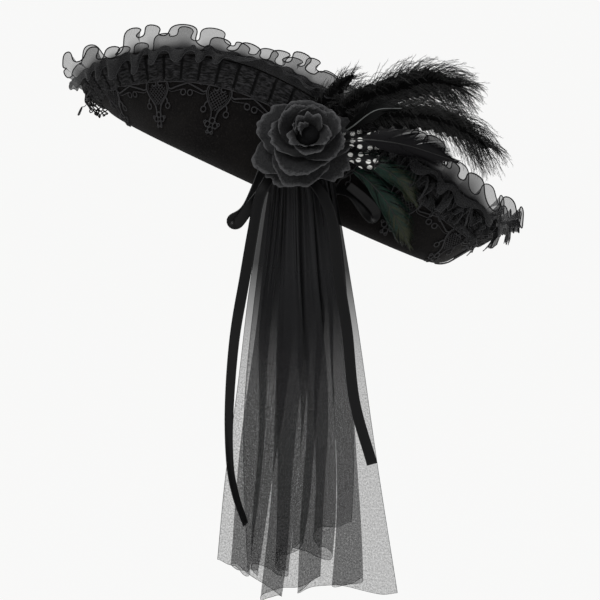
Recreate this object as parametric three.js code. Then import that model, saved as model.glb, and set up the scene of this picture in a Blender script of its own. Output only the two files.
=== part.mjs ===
// A black felt tricorn hat, trimmed with ruffles, braid, lace, a cloth rose, feathers, ribbons and a veil.
// Millimetres, +Z up. The wearer faces -Y and +X is the wearer's left, the side that carries the rose.
// The origin is the centre of the head opening. The hat is worn tilted back, and the veil hangs along -Z.
import * as THREE from 'three';
import { mergeVertices } from 'three/addons/utils/BufferGeometryUtils.js';

// Driving dimensions
const GAP = 0.4;
const TILT_DEG = 24;
const FELT_WALL = 2.2;
const CLOTH_WALL = 1;
const CROWN = { halfWidth: 84, halfLength: 101, height: 95, fillet: 6 };
const BEND_RADIUS = 20;
const FELT_COLUMNS = 48;

// The crown's section from its top to its foot, as shares of its radius and its height
const CROWN_SECTION = [
  { radius: 0, rise: 1 },
  { radius: 0.36, rise: 0.985 },
  { radius: 0.66, rise: 0.92 },
  { radius: 0.86, rise: 0.78 },
  { radius: 0.955, rise: 0.55 },
  { radius: 0.99, rise: 0.3 },
  { radius: 1, rise: 0.07 },
];

// The brim on the wearer's left, from the front (0 degrees) to the back (180). The right side mirrors it.
// fold: distance from the centre to where the brim turns up. flap: cloth beyond the fold.
const BRIM_SECTIONS = [
  { azimuth: 0, fold: 192, upturn: 18, flap: 41 },
  { azimuth: 15, fold: 187, upturn: 26, flap: 58 },
  { azimuth: 30, fold: 172, upturn: 44, flap: 87 },
  { azimuth: 45, fold: 153, upturn: 65, flap: 108 },
  { azimuth: 60, fold: 142, upturn: 76, flap: 117 },
  { azimuth: 75, fold: 138, upturn: 79, flap: 117 },
  { azimuth: 90, fold: 143, upturn: 79, flap: 112 },
  { azimuth: 105, fold: 158, upturn: 75, flap: 104 },
  { azimuth: 120, fold: 179, upturn: 67, flap: 96 },
  { azimuth: 135, fold: 190, upturn: 60, flap: 85 },
  { azimuth: 150, fold: 174, upturn: 54, flap: 80 },
  { azimuth: 165, fold: 157, upturn: 51, flap: 74 },
  { azimuth: 180, fold: 151, upturn: 50, flap: 77 },
];

const TRIM = { fromEdge: 5, height: 25, pleats: 72, depth: 1.2, lift: 0.8 };

// The ruffles. up and out: the cloth's line from the brim's edge, along the flap and away from it.
const ORGANZA = {
  waves: 44, samples: 4, footWave: 0.9, topWave: 6, side: 1, up: [0, 29], out: [0, 4.4],
};
const DARK = {
  waves: 32, samples: 3, footWave: 0.9, topWave: 3.5, side: -1, up: [0, 10, 4], out: [0, 4, 11],
};
const RUFFLE_FOOT = 2.9;

// Behind the rose and the feathers the outer ruffle is pressed flat against the flap
const PRESS = { from: 62, to: 124, ease: 10, wave: 0.9, up: [0, 6, 12], out: [0, 0, 0] };
const LACE = { motifs: 20, height: 48, gap: 1.2, lift: 3, droop: 0.3, flare: 0.0108 };
const LACE_STEP = 4;

// One lace motif: x is a share of its pitch, y a share of the lace's height
const LACE_POINTS = {
  topLeft: [0, 0], topNear: [0.25, 0], topMiddle: [0.5, 0], topFar: [0.75, 0], topRight: [1, 0],
  bandLeft: [0, 0.14], shieldLeft: [0.28, 0.14], bandMiddle: [0.5, 0.14], shieldRight: [0.72, 0.14],
  bandRight: [1, 0.14],
  wingLeft: [0.24, 0.44], wingRight: [0.76, 0.44],
  holeTop: [0.5, 0.22], holeLeft: [0.36, 0.42], holeRight: [0.64, 0.42], holeFoot: [0.5, 0.6],
  neckLeft: [0.42, 0.72], neckRight: [0.58, 0.72],
  ringLeft: [0.33, 0.88], ringFoot: [0.5, 1], ringRight: [0.67, 0.88],
};
const LACE_FACES = [
  ['topLeft', 'bandLeft', 'shieldLeft'], ['topLeft', 'shieldLeft', 'topNear'],
  ['topNear', 'shieldLeft', 'topMiddle'], ['topMiddle', 'shieldLeft', 'bandMiddle'],
  ['topMiddle', 'bandMiddle', 'shieldRight'], ['topMiddle', 'shieldRight', 'topFar'],
  ['topFar', 'shieldRight', 'topRight'], ['topRight', 'shieldRight', 'bandRight'],
  ['shieldLeft', 'wingLeft', 'holeLeft'], ['shieldLeft', 'holeLeft', 'holeTop'],
  ['shieldLeft', 'holeTop', 'bandMiddle'], ['bandMiddle', 'holeTop', 'shieldRight'],
  ['holeTop', 'holeRight', 'shieldRight'],
  ['holeRight', 'wingRight', 'shieldRight'],
  ['wingLeft', 'neckLeft', 'holeLeft'], ['holeLeft', 'neckLeft', 'holeFoot'],
  ['holeFoot', 'neckLeft', 'neckRight'], ['holeFoot', 'neckRight', 'holeRight'],
  ['holeRight', 'neckRight', 'wingRight'],
  ['neckLeft', 'ringLeft', 'ringFoot'], ['neckLeft', 'ringFoot', 'neckRight'],
  ['neckRight', 'ringFoot', 'ringRight'],
];

// The rose: its seat on the flap, and the way that its heart faces
const ROSE = { azimuth: 88, fromEdge: 49.3, lift: 11.2, raise: 24, turn: 0, hole: 4.7, back: 16.5 };
const ROSE_LAYERS = [
  { name: 'rose_petals_outer', radius: 49, foot: 6, rise: 9, curl: 3, petals: 5, turn: 0 },
  { name: 'rose_petals_middle', radius: 38, foot: 12, rise: 22, curl: 3, petals: 5, turn: 36 },
  { name: 'rose_petals_inner', radius: 25, foot: 18, rise: 26, curl: 0, petals: 5, turn: 14 },
];

// The rose's stem, knot and heart as radius and height, turned about the way that it faces
const ROSE_HEART = [
  [0, -23.5], [5, -22], [7, -16.5], [5, -12], [4, 2],
  [4, 21], [8.5, 27], [11, 35], [8.5, 42], [0, 46],
];
const ROSE_HEART_SIDES = 9;

// Colours from the photograph, roughness and metalness
const FINISH = {
  felt: [0x151416, 0.95], organza: [0x2c2b30, 0.6], dark: [0x141417, 0.6], trim: [0x1b1b1e, 0.8],
  lace: [0x1c1b20, 0.8], rose: [0x35363a, 0.85], plume: [0x0e0f0e, 0.8], hackle: [0x1a1d1e, 0.6],
  goose: [0x1a1420, 0.5], guinea: [0x8d8d8a, 0.7], coque: [0x1c3d31, 0.4], satin: [0x121216, 0.35],
  veil: [0x232327, 0.7],
};

const radians = THREE.MathUtils.degToRad;
const lerp = THREE.MathUtils.lerp;

// A value from a table's column at a place, on a smooth curve through the rows
function smoothColumn(rows, key, place, column) {
  const last = rows.length - 1;
  let k = 0;
  while (k < last - 1 && rows[k + 1][key] < place) k += 1;
  const share = THREE.MathUtils.clamp((place - rows[k][key]) / (rows[k + 1][key] - rows[k][key]), 0, 1);
  const before = rows[k > 0 ? k - 1 : 1][column];
  const after = rows[k + 2 <= last ? k + 2 : last - 1][column];
  const [a, b] = [rows[k][column], rows[k + 1][column]];
  const slopeA = (b - before) / 2;
  const slopeB = (after - a) / 2;
  const s2 = share * share;
  const s3 = s2 * share;
  const blend = 3 * s2 - 2 * s3;
  return a * (1 - blend) + b * blend + slopeA * (s3 - 2 * s2 + share) + slopeB * (s3 - s2);
}

// A surface without thickness, from a grid of points that may close on itself
function gridSurface(columns, rows, wraps, pointAt) {
  const positions = [];
  const index = [];
  for (let j = 0; j <= columns; j += 1) {
    for (let i = 0; i <= rows; i += 1) {
      positions.push(...pointAt(j / columns, i / rows, j, i).toArray());
    }
  }
  for (let j = 0; j < columns; j += 1) {
    for (let i = 0; i < rows; i += 1) {
      const a = j * (rows + 1) + i;
      const d = wraps && j === columns - 1 ? i : a + rows + 1;
      index.push(a, a + 1, d + 1, a, d + 1, d);
    }
  }
  const surface = new THREE.BufferGeometry();
  surface.setAttribute('position', new THREE.Float32BufferAttribute(positions, 3));
  surface.setIndex(index);
  return surface;
}

// The points, faces and point normals of a surface, once points that coincide are one
function weld(surface) {
  const merged = mergeVertices(surface, 1e-3);
  const place = merged.getAttribute('position');
  const points = [];
  for (let k = 0; k < place.count; k += 1) points.push(new THREE.Vector3().fromBufferAttribute(place, k));
  const faces = [];
  for (let k = 0; k < merged.index.count; k += 3) {
    const face = [merged.index.getX(k), merged.index.getX(k + 1), merged.index.getX(k + 2)];
    if (new Set(face).size === 3) faces.push(face);
  }
  const normals = points.map(() => new THREE.Vector3());
  for (const [a, b, c] of faces) {
    const along = points[b].clone().sub(points[a]);
    const across = points[c].clone().sub(points[a]);
    const normal = along.cross(across);
    normals[a].add(normal);
    normals[b].add(normal);
    normals[c].add(normal);
  }
  normals.forEach((normal) => normal.normalize());
  return { points, faces, normals };
}

// A closed solid: the surface made a wall, with its open borders joined.
// wall is a size or a function of the point.
function thicken(surface, wall) {
  const wallAt = typeof wall === 'function' ? wall : () => wall;
  const { points, faces, normals } = weld(surface);
  const count = points.length;
  const positions = [];
  for (const side of [0.5, -0.5]) {
    points.forEach((point, k) => {
      positions.push(...point.clone().addScaledVector(normals[k], side * wallAt(point)).toArray());
    });
  }
  const edges = new Set();
  for (const [a, b, c] of faces) {
    edges.add(`${a},${b}`).add(`${b},${c}`).add(`${c},${a}`);
  }
  const index = [];
  for (const [a, b, c] of faces) {
    index.push(a, b, c, c + count, b + count, a + count);
    for (const [from, to] of [[a, b], [b, c], [c, a]]) {
      if (!edges.has(`${to},${from}`)) {
        index.push(to, from, from + count, to, from + count, to + count);
      }
    }
  }
  const solid = new THREE.BufferGeometry();
  solid.setAttribute('position', new THREE.Float32BufferAttribute(positions, 3));
  solid.setIndex(index);
  return solid;
}

function piece(name, geometry, finish) {
  const [color, roughness] = FINISH[finish];
  geometry.computeVertexNormals();
  const material = new THREE.MeshStandardMaterial({ color, roughness, metalness: 0 });
  const mesh = new THREE.Mesh(geometry, material);
  mesh.name = name;
  return mesh;
}

// The felt body
function brimAt(azimuth) {
  const turn = ((azimuth % 360) + 360) % 360;
  const place = turn > 180 ? 360 - turn : turn;
  const value = (column) => smoothColumn(BRIM_SECTIONS, 'azimuth', place, column);
  const upturn = radians(value('upturn'));
  return { fold: value('fold'), upturn, flap: value('flap'), bend: BEND_RADIUS * upturn };
}

function crownRadius(azimuth) {
  const angle = radians(azimuth);
  return 1 / Math.hypot(Math.sin(angle) / CROWN.halfWidth, Math.cos(angle) / CROWN.halfLength);
}

// The lengths of cloth past the fold at which the flap has a row of points
function flapRows({ bend, flap }) {
  return [0, bend / 3, (2 * bend) / 3, bend, (bend + flap) / 2, flap];
}

function flapPoint({ fold, upturn, bend }, cloth) {
  const arc = Math.min(cloth, bend) / BEND_RADIUS;
  const straight = Math.max(cloth - bend, 0);
  const out = BEND_RADIUS * Math.sin(arc) + straight * Math.cos(upturn);
  const up = BEND_RADIUS * (1 - Math.cos(arc)) + straight * Math.sin(upturn);
  return [fold + out, up];
}

function feltSection(azimuth) {
  const brim = brimAt(azimuth);
  const foot = crownRadius(azimuth);
  const crown = CROWN_SECTION.map(({ radius, rise }) => [foot * radius, CROWN.height * rise]);
  const start = foot + CROWN.fillet;
  const flat = [[start, 0], [(start + brim.fold) / 2, 0]];
  const flap = flapRows(brim).map((cloth) => flapPoint(brim, cloth));
  return [...crown, ...flat, ...flap];
}

const FELT_ROWS = feltSection(0).length - 1;
const FIRST_FLAT_ROW = CROWN_SECTION.length;
const FOLD_ROW = FIRST_FLAT_ROW + 2;

function polar(azimuth, radius, height) {
  const angle = radians(azimuth);
  return new THREE.Vector3(radius * Math.sin(angle), -radius * Math.cos(angle), height);
}

const feltMiddle = gridSurface(FELT_COLUMNS, FELT_ROWS, true, (u, v, j, i) => {
  const azimuth = (360 * j) / FELT_COLUMNS;
  return polar(azimuth, ...feltSection(azimuth)[i]);
});

// The felt's grid of points and normals, for the trims that lie on its facets
const feltGrid = (() => {
  const { points, normals } = weld(feltMiddle);
  const find = new Map();
  const key = (p) => p.toArray().map((x) => x.toFixed(2)).join();
  points.forEach((p, k) => find.set(key(new THREE.Vector3(...p.toArray().map(Math.fround))), k));
  const place = feltMiddle.getAttribute('position');
  const grid = [];
  for (let j = 0; j < FELT_COLUMNS; j += 1) {
    grid.push([]);
    for (let i = 0; i <= FELT_ROWS; i += 1) {
      const point = new THREE.Vector3().fromBufferAttribute(place, j * (FELT_ROWS + 1) + i);
      grid[j].push({ point, normal: normals[find.get(key(point))] });
    }
  }
  return grid;
})();

// The row, with its fraction, that lies a length of cloth from the brim's edge
function rowFromEdge(azimuth, fromEdge) {
  const brim = brimAt(azimuth);
  const cloth = brim.flap - fromEdge;
  const rows = flapRows(brim);
  if (cloth < 0) {
    const start = crownRadius(azimuth) + CROWN.fillet;
    const share = (brim.fold + cloth - start) / (brim.fold - start);
    return FIRST_FLAT_ROW + 2 * Math.max(share, 0);
  }
  let k = 0;
  while (k < rows.length - 2 && rows[k + 1] < cloth) k += 1;
  return FOLD_ROW + k + (cloth - rows[k]) / (rows[k + 1] - rows[k]);
}

// A point on the felt's facets, lifted off the middle of the wall towards the crown's side
function feltPoint(azimuth, row, lift) {
  const column = ((azimuth / 360) * FELT_COLUMNS + FELT_COLUMNS) % FELT_COLUMNS;
  const j = Math.floor(column);
  const i = Math.min(Math.floor(row), FELT_ROWS - 1);
  const [fj, fi] = [column - j, row - i];
  const at = (jj, ii) => {
    const { point, normal } = feltGrid[jj % FELT_COLUMNS][ii];
    return point.clone().addScaledVector(normal, lift);
  };
  const [a, b, c, d] = [at(j, i), at(j, i + 1), at(j + 1, i + 1), at(j + 1, i)];
  if (fj <= fi) return a.clone().addScaledVector(b.clone().sub(a), fi).addScaledVector(c.clone().sub(b), fj);
  return a.clone().addScaledVector(d.clone().sub(a), fj).addScaledVector(c.clone().sub(d), fi);
}

// A point outside the flap: lift is measured from the flap's outer face, away from the crown
function outsideFlap(azimuth, fromEdge, lift) {
  return feltPoint(azimuth, rowFromEdge(azimuth, fromEdge), -(FELT_WALL / 2 + lift));
}

// The flap's directions at its edge: up along the cloth, and towards the crown
function edgeFrame(azimuth) {
  const edge = feltPoint(azimuth, FELT_ROWS, 0);
  const up = edge.clone().sub(feltPoint(azimuth, FELT_ROWS - 1, 0)).normalize();
  const inward = feltPoint(azimuth, FELT_ROWS, 1).sub(edge).normalize();
  return { edge, up, inward };
}

// The trims round the brim
function pleatedTrim() {
  const columns = TRIM.pleats * 2;
  return gridSurface(columns, 1, true, (u, v, j) => {
    const pleat = j % 2 === 0 ? 0 : TRIM.depth;
    return outsideFlap(360 * u, TRIM.fromEdge + TRIM.height * (1 - v), TRIM.lift + CLOTH_WALL / 2 + pleat);
  });
}

// How far the outer ruffle is pressed flat behind the rose and the feathers, from 0 to 1
function pressed(azimuth) {
  const { from, to, ease } = PRESS;
  const { smoothstep } = THREE.MathUtils;
  return smoothstep(azimuth, from, from + ease) - smoothstep(azimuth, to, to + ease);
}

function ruffle({ waves, samples, footWave, topWave, side, up, out }) {
  return gridSurface(waves * samples, up.length - 1, true, (u, v, j, i) => {
    const frame = edgeFrame(360 * u);
    const press = side < 0 ? pressed(360 * u) : 0;
    const flatter = (free, flat) => (side < 0 ? lerp(free, flat, press) : free);
    const depth = lerp(footWave, flatter(topWave, PRESS.wave), v);
    const wave = Math.sin((2 * Math.PI * j) / samples + Math.PI / samples) * depth;
    const reach = GAP + flatter(up[i], PRESS.up[i]);
    const away = side * (RUFFLE_FOOT + flatter(out[i], PRESS.out[i])) + wave;
    return frame.edge.addScaledVector(frame.up, reach).addScaledVector(frame.inward, away);
  });
}

// The lace hangs from the braid's lower edge. Where the flap is low it falls free under its own weight.
function lacePoint(azimuth, drop) {
  const foot = TRIM.fromEdge + TRIM.height + LACE.gap;
  const top = outsideFlap(azimuth, foot, LACE.lift + CLOTH_WALL / 2);
  const aboveLift = LACE.lift - LACE.flare * LACE_STEP;
  const above = outsideFlap(azimuth, foot - LACE_STEP, aboveLift + CLOTH_WALL / 2);
  const along = top.clone().sub(above).normalize();
  const down = new THREE.Vector3(0, 0, -1).applyAxisAngle(new THREE.Vector3(1, 0, 0), radians(TILT_DEG));
  const free = 1 - THREE.MathUtils.smoothstep(THREE.MathUtils.radToDeg(brimAt(azimuth).upturn), 12, 60);
  along.lerp(down, LACE.droop * free).normalize();
  return top.addScaledVector(along, drop);
}

function laceTrim() {
  const positions = [];
  const index = [];
  const names = Object.keys(LACE_POINTS);
  for (let m = 0; m < LACE.motifs; m += 1) {
    for (const name of names) {
      const [x, y] = LACE_POINTS[name];
      const azimuth = (360 * (m + x)) / LACE.motifs;
      positions.push(...lacePoint(azimuth % 360, y * LACE.height).toArray());
    }
    for (const face of LACE_FACES) {
      index.push(...face.map((name) => m * names.length + names.indexOf(name)));
    }
  }
  const surface = new THREE.BufferGeometry();
  surface.setAttribute('position', new THREE.Float32BufferAttribute(positions, 3));
  surface.setIndex(index);
  return surface;
}

const hat = new THREE.Group();
hat.rotation.x = -radians(TILT_DEG);
hat.add(
  piece('felt_body', thicken(feltMiddle, FELT_WALL), 'felt'),
  piece('organza_ruffle', thicken(ruffle(ORGANZA), CLOTH_WALL), 'organza'),
  piece('dark_ruffle', thicken(ruffle(DARK), CLOTH_WALL), 'dark'),
  piece('pleated_trim', thicken(pleatedTrim(), CLOTH_WALL), 'trim'),
  piece('lace_trim', thicken(laceTrim(), CLOTH_WALL), 'lace'),
);

// A place on the flap, in the frame in which the veil hangs
function seat(azimuth, fromEdge, lift) {
  return outsideFlap(azimuth, fromEdge, lift).applyEuler(hat.rotation);
}

// The rose
const roseAxis = new THREE.Vector3(
  Math.cos(radians(ROSE.raise)) * Math.cos(radians(ROSE.turn)),
  Math.cos(radians(ROSE.raise)) * Math.sin(radians(ROSE.turn)),
  Math.sin(radians(ROSE.raise)),
);

function petalRing({ radius, foot, rise, curl, petals, turn }) {
  const columns = petals * 5;
  return gridSurface(columns, 2, true, (u, v, j) => {
    const lobe = Math.abs(Math.cos((Math.PI * j) / 5));
    const angle = 2 * Math.PI * u + radians(turn);
    const reach = radius * (0.84 + 0.16 * lobe);
    const r = lerp(ROSE.hole, reach, Math.sqrt(v));
    const share = r / radius;
    const height = foot + rise * share * share - curl * v * lobe;
    return new THREE.Vector3(r * Math.cos(angle), r * Math.sin(angle), height);
  });
}

const rose = new THREE.Group();
rose.quaternion.setFromUnitVectors(new THREE.Vector3(0, 0, 1), roseAxis);
rose.position.copy(seat(ROSE.azimuth, ROSE.fromEdge, ROSE.lift)).addScaledVector(roseAxis, ROSE.back);
const heartProfile = ROSE_HEART.map(([r, z]) => new THREE.Vector2(r, z));
const heart = new THREE.LatheGeometry(heartProfile, ROSE_HEART_SIDES);
heart.rotateX(Math.PI / 2);
heart.deleteAttribute('normal');
heart.deleteAttribute('uv');
rose.add(piece('rose_heart', mergeVertices(heart, 1e-3), 'rose'));
for (const layer of ROSE_LAYERS) {
  rose.add(piece(layer.name, thicken(petalRing(layer), CLOTH_WALL), 'rose'));
}

// Feathers. Each starts at its seat behind the rose and runs through the points of its path.
// half: half the vane's width at equal steps along the feather, which size scales.
const VANES = {
  LEAF: { half: [1.3, 1.3, 1.5, 9, 13, 12.5, 9, 2], rows: 9, columns: 2, wall: 1, notch: 0, camber: 0.2 },
  SHORT_LEAF: { half: [1.3, 1.3, 1.3, 4, 9, 10, 8, 2], rows: 9, columns: 2, wall: 1, notch: 0, camber: 0.2 },
  PLUME: { half: [1.5, 1.5, 5, 17, 22, 22, 18, 6], rows: 12, columns: 4, wall: 5, notch: 0.3, camber: 0.05 },
};
const QUILL = { wall: 1.2, taperFrom: 25, taperTo: 50 };
const FEATHERS = [
  { name: 'plume_back', finish: 'plume', vane: 'PLUME', size: 0.6,
    azimuth: 90, fromEdge: 27, lift: 4.2,
    path: [[182.3, 27, 86], [190.6, 44, 106], [198, 58, 118]] },
  { name: 'plume_upper', finish: 'plume', vane: 'PLUME', size: 1,
    azimuth: 92.5, fromEdge: 28.8, lift: 4.2,
    path: [[191.8, 51, 88], [206, 85, 102], [212, 122, 113], [212, 155, 108]] },
  { name: 'plume_lower', finish: 'plume', vane: 'PLUME', size: 1,
    azimuth: 92.5, fromEdge: 33.3, lift: 5.2,
    path: [[195, 55, 78], [226, 99, 82], [234, 143, 76], [230, 178, 54]] },
  { name: 'hackle_feather', finish: 'hackle', vane: 'LEAF', size: 0.8,
    azimuth: 92.5, fromEdge: 39.5, lift: 4.9,
    path: [[199.2, 56.3, 71], [229, 77, 87], [240, 100, 89]] },
  { name: 'goose_feather', finish: 'goose', vane: 'LEAF', size: 1,
    azimuth: 92.5, fromEdge: 44, lift: 4.9,
    path: [[192, 55, 59.9], [213, 100, 57], [223, 151, 41]] },
  { name: 'guinea_feather_upper', finish: 'guinea', vane: 'SHORT_LEAF', size: 1,
    azimuth: 92.5, fromEdge: 48.6, lift: 5,
    path: [[191, 46, 57], [200, 62, 58], [218, 83, 62]] },
  { name: 'guinea_feather_lower', finish: 'guinea', vane: 'SHORT_LEAF', size: 1,
    azimuth: 92.5, fromEdge: 52.6, lift: 5,
    path: [[189, 46, 45], [197, 62, 42], [209, 81, 39]] },
  { name: 'coque_feather_short', finish: 'coque', vane: 'LEAF', size: 0.9,
    azimuth: 92.5, fromEdge: 56.6, lift: 5,
    path: [[191, 57, 43], [203, 82, 35], [208, 100, 23], [206, 116, 0]] },
  { name: 'coque_feather_long', finish: 'coque', vane: 'LEAF', size: 1,
    azimuth: 92.5, fromEdge: 60.7, lift: 4.7,
    path: [[189, 57, 32], [197, 87, 5], [187, 111, -40]] },
];

function feather({ vane, size, azimuth, fromEdge, lift, path }) {
  const { half, rows, columns, notch, camber } = VANES[vane];
  const points = [seat(azimuth, fromEdge, lift), ...path.map((p) => new THREE.Vector3(...p))];
  const spine = new THREE.CatmullRomCurve3(points);
  const facing = new THREE.Vector3(1, 0, 0);
  return gridSurface(columns, rows, false, (u, v, j, i) => {
    const place = v * (half.length - 1);
    const k = Math.min(Math.floor(place), half.length - 2);
    const lock = i % 2 === 0 || i < 3 ? 1 : 1 - notch;
    const reach = lerp(half[k], half[k + 1], place - k) * size * lock;
    const across = spine.getTangentAt(v).cross(facing).normalize();
    const side = 2 * u - 1;
    const point = spine.getPointAt(v).addScaledVector(across, side * reach);
    return point.addScaledVector(facing, -camber * side * side * reach);
  });
}

// A plume is thin at its quill and full further out
function featherWall({ vane, azimuth, fromEdge, lift }) {
  const root = seat(azimuth, fromEdge, lift);
  const { wall } = VANES[vane];
  if (wall <= QUILL.wall) return () => wall;
  return (point) => {
    const share = THREE.MathUtils.smoothstep(point.distanceTo(root), QUILL.taperFrom, QUILL.taperTo);
    return lerp(QUILL.wall, wall, share);
  };
}

const dress = new THREE.Group();
for (const row of FEATHERS) {
  dress.add(piece(row.name, thicken(feather(row), featherWall(row)), row.finish));
}

// Satin ribbon: a strip along a path. width is its width at equal steps along it, less where it twists.
const RIBBONS = [
  { name: 'ribbon_tail_left', rows: 13, azimuth: 80.5, fromEdge: 62.9, lift: 6.2,
    width: [9, 10, 10, 10, 8, 6],
    path: [[186, -15, 30], [193, -28, 8], [196, -37, -26], [197, -46, -90], [197, -55, -188],
      [196, -55, -225], [193, -45, -308]] },
  { name: 'ribbon_tail_right', rows: 12, azimuth: 84.4, fromEdge: 62, lift: 5.6,
    width: [10, 10, 10, 10],
    path: [[184, 12, 28], [192, 27, 8], [196, 42, -54], [198, 50, -112], [198, 58, -160], [199, 77, -246]] },
  { name: 'ribbon_loop_left', rows: 12, azimuth: 78, fromEdge: 65.4, lift: 6.4,
    width: [10, 10],
    path: [[180, -38, -2], [182, -53, -15], [186, -48, -18], [187, -36, -2], [185, -26, 10]] },
  { name: 'ribbon_loop_right', rows: 12, azimuth: 101.2, fromEdge: 62.8, lift: 5.5,
    width: [8, 9, 9, 9, 8],
    path: [[185, 57, 9], [186.5, 70, -8], [188.5, 76, -13], [190, 79, -7], [190.5, 71, 3], [190, 54, 17]] },
];

function ribbon({ rows, azimuth, fromEdge, lift, width, path }) {
  const points = [seat(azimuth, fromEdge, lift), ...path.map((p) => new THREE.Vector3(...p))];
  const line = new THREE.CatmullRomCurve3(points);
  const facing = new THREE.Vector3(1, 0, 0);
  return gridSurface(1, rows, false, (u, v) => {
    const place = v * (width.length - 1);
    const k = Math.min(Math.floor(place), width.length - 2);
    const half = lerp(width[k], width[k + 1], place - k) / 2;
    const across = line.getTangentAt(v).cross(facing).normalize();
    return line.getPointAt(v).addScaledVector(across, (2 * u - 1) * half);
  });
}

for (const row of RIBBONS) {
  dress.add(piece(row.name, thicken(ribbon(row), CLOTH_WALL), 'satin'));
}

// The veil: two sheets of tulle, gathered behind the rose. front and back are the sheet's two side edges.
const VEIL_EDGES = [
  { share: 0, front: -22, back: 40 },
  { share: 0.12, front: -40, back: 46 },
  { share: 0.3, front: -47, back: 56 },
  { share: 0.55, front: -55, back: 71 },
  { share: 0.8, front: -59, back: 87 },
  { share: 1, front: -68, back: 101 },
];
const VEIL_ROWS = 4;
const VEIL_SWING = 0.13;
const VEILS = [
  { name: 'veil_inner', columns: 25, folds: 5, top: 27, frontHem: -325, backHem: -352, dip: 26, narrow: 0.9,
    depthTop: 172.4, depthHem: 166, footWave: 1, hemWave: 6 },
  { name: 'veil_outer', columns: 30, folds: 6, top: 22, frontHem: -340, backHem: -374, dip: -14, narrow: 1,
    depthTop: 177, depthHem: 184, footWave: 1, hemWave: 8 },
];

function veil(sheet) {
  const { columns, folds, top, frontHem, backHem, dip, narrow } = sheet;
  const { depthTop, depthHem, footWave, hemWave } = sheet;
  return gridSurface(columns, VEIL_ROWS, false, (u, v) => {
    const front = smoothColumn(VEIL_EDGES, 'share', v, 'front');
    const back = smoothColumn(VEIL_EDGES, 'share', v, 'back');
    const middle = (front + back) / 2;
    const hem = lerp(frontHem, backHem, u) - dip * Math.sin(Math.PI * u);
    const wave = Math.sin(2 * Math.PI * folds * u) * lerp(footWave, hemWave, v);
    const across = middle + (lerp(front, back, u) - middle) * narrow;
    const swing = VEIL_SWING * (1 - 0.8 * v) * (across - VEIL_EDGES[0].front);
    return new THREE.Vector3(lerp(depthTop, depthHem, v) + wave + swing, across, lerp(top, hem, v));
  });
}

for (const row of VEILS) {
  dress.add(piece(row.name, thicken(veil(row), CLOTH_WALL), 'veil'));
}

const tricorn = new THREE.Group();
tricorn.add(hat, rose, dress);

export default tricorn;
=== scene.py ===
# A black tricorn hat of wool felt, dressed with organza ruffles, braid, guipure lace, a cloth rose,
# feathers, satin ribbons and a tulle veil. Sizes are in millimetres, and meshes are made in metres.
import math

import bpy
import numpy as np
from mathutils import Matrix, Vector


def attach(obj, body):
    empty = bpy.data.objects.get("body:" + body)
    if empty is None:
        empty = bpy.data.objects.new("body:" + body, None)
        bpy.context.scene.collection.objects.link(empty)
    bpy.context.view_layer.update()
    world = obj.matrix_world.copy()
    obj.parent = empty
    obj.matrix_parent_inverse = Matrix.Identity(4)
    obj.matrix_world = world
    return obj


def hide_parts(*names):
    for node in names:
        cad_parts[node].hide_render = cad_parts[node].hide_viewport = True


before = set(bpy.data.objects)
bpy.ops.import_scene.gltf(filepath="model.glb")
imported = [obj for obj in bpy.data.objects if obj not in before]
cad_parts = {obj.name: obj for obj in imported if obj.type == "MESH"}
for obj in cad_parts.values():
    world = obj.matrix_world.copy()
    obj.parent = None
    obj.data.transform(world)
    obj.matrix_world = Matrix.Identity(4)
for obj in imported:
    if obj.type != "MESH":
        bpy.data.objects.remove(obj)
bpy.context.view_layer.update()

MM = 0.001
TAU = 2 * math.pi
SEED = 7

# The felt's driving sizes
TILT = math.radians(24)
FELT_WALL = 2.2
CROWN_WIDTH, CROWN_LENGTH, CROWN_HEIGHT, CROWN_FILLET = 84, 101, 95, 6
BEND_RADIUS = 20
# The crown's section from its top to its foot, as shares of its radius and its height
CROWN_SECTION = [(0, 1), (0.36, 0.985), (0.66, 0.92), (0.86, 0.78), (0.955, 0.55), (0.99, 0.3), (1, 0.07)]
# The brim from the front (0 degrees) to the back (180): azimuth, how far out it turns up, by how many
# degrees, and how much cloth the flap has
BRIM_SECTIONS = [
    (0, 192, 18, 41), (15, 187, 26, 58), (30, 172, 44, 87), (45, 153, 65, 108), (60, 142, 76, 117),
    (75, 138, 79, 117), (90, 143, 79, 112), (105, 158, 75, 104), (120, 179, 67, 96), (135, 190, 60, 85),
    (150, 174, 54, 80), (165, 157, 51, 74), (180, 151, 50, 77),
]
FELT_COLUMNS, CROWN_ROWS = 252, 31
# Loose fibres for each square metre of felt
FUZZ_DENSITY = 26000.0


# Camera, floor and light
CAMERA_DISTANCE, CAMERA_RISE, CAMERA_LENS, SENSOR_WIDTH = 2.2, math.radians(6.5), 130.526, 36
CAMERA_TARGET = Vector((0, 0.0095, -0.1103))
PAPER_WHITE = (0.935, 0.935, 0.93, 1)
FLOOR_HEIGHT, FLOOR_SIZE = -0.62, 28
# The softboxes: place and aim in metres, size, and power in watts
SOFTBOXES = {
    "key": ((1.6, -1.3, 1.9), (0.1, 0, 0), 1.3, 38),
    "fill": ((2.2, 1.6, 0.7), (0.1, 0, -0.1), 1.6, 11),
    "top": ((0, 0.2, 2.2), (0, 0, 0), 1.6, 16),
}


def make_camera():
    data = bpy.data.cameras.new("camera")
    data.lens, data.sensor_width = CAMERA_LENS, SENSOR_WIDTH
    data.clip_end = 50
    camera = bpy.data.objects.new("camera", data)
    back = Vector((math.cos(CAMERA_RISE), 0, math.sin(CAMERA_RISE)))
    camera.location = CAMERA_TARGET + back * CAMERA_DISTANCE
    camera.rotation_euler = (-back).to_track_quat("-Z", "Y").to_euler()
    bpy.context.collection.objects.link(camera)
    bpy.context.scene.camera = camera


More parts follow.
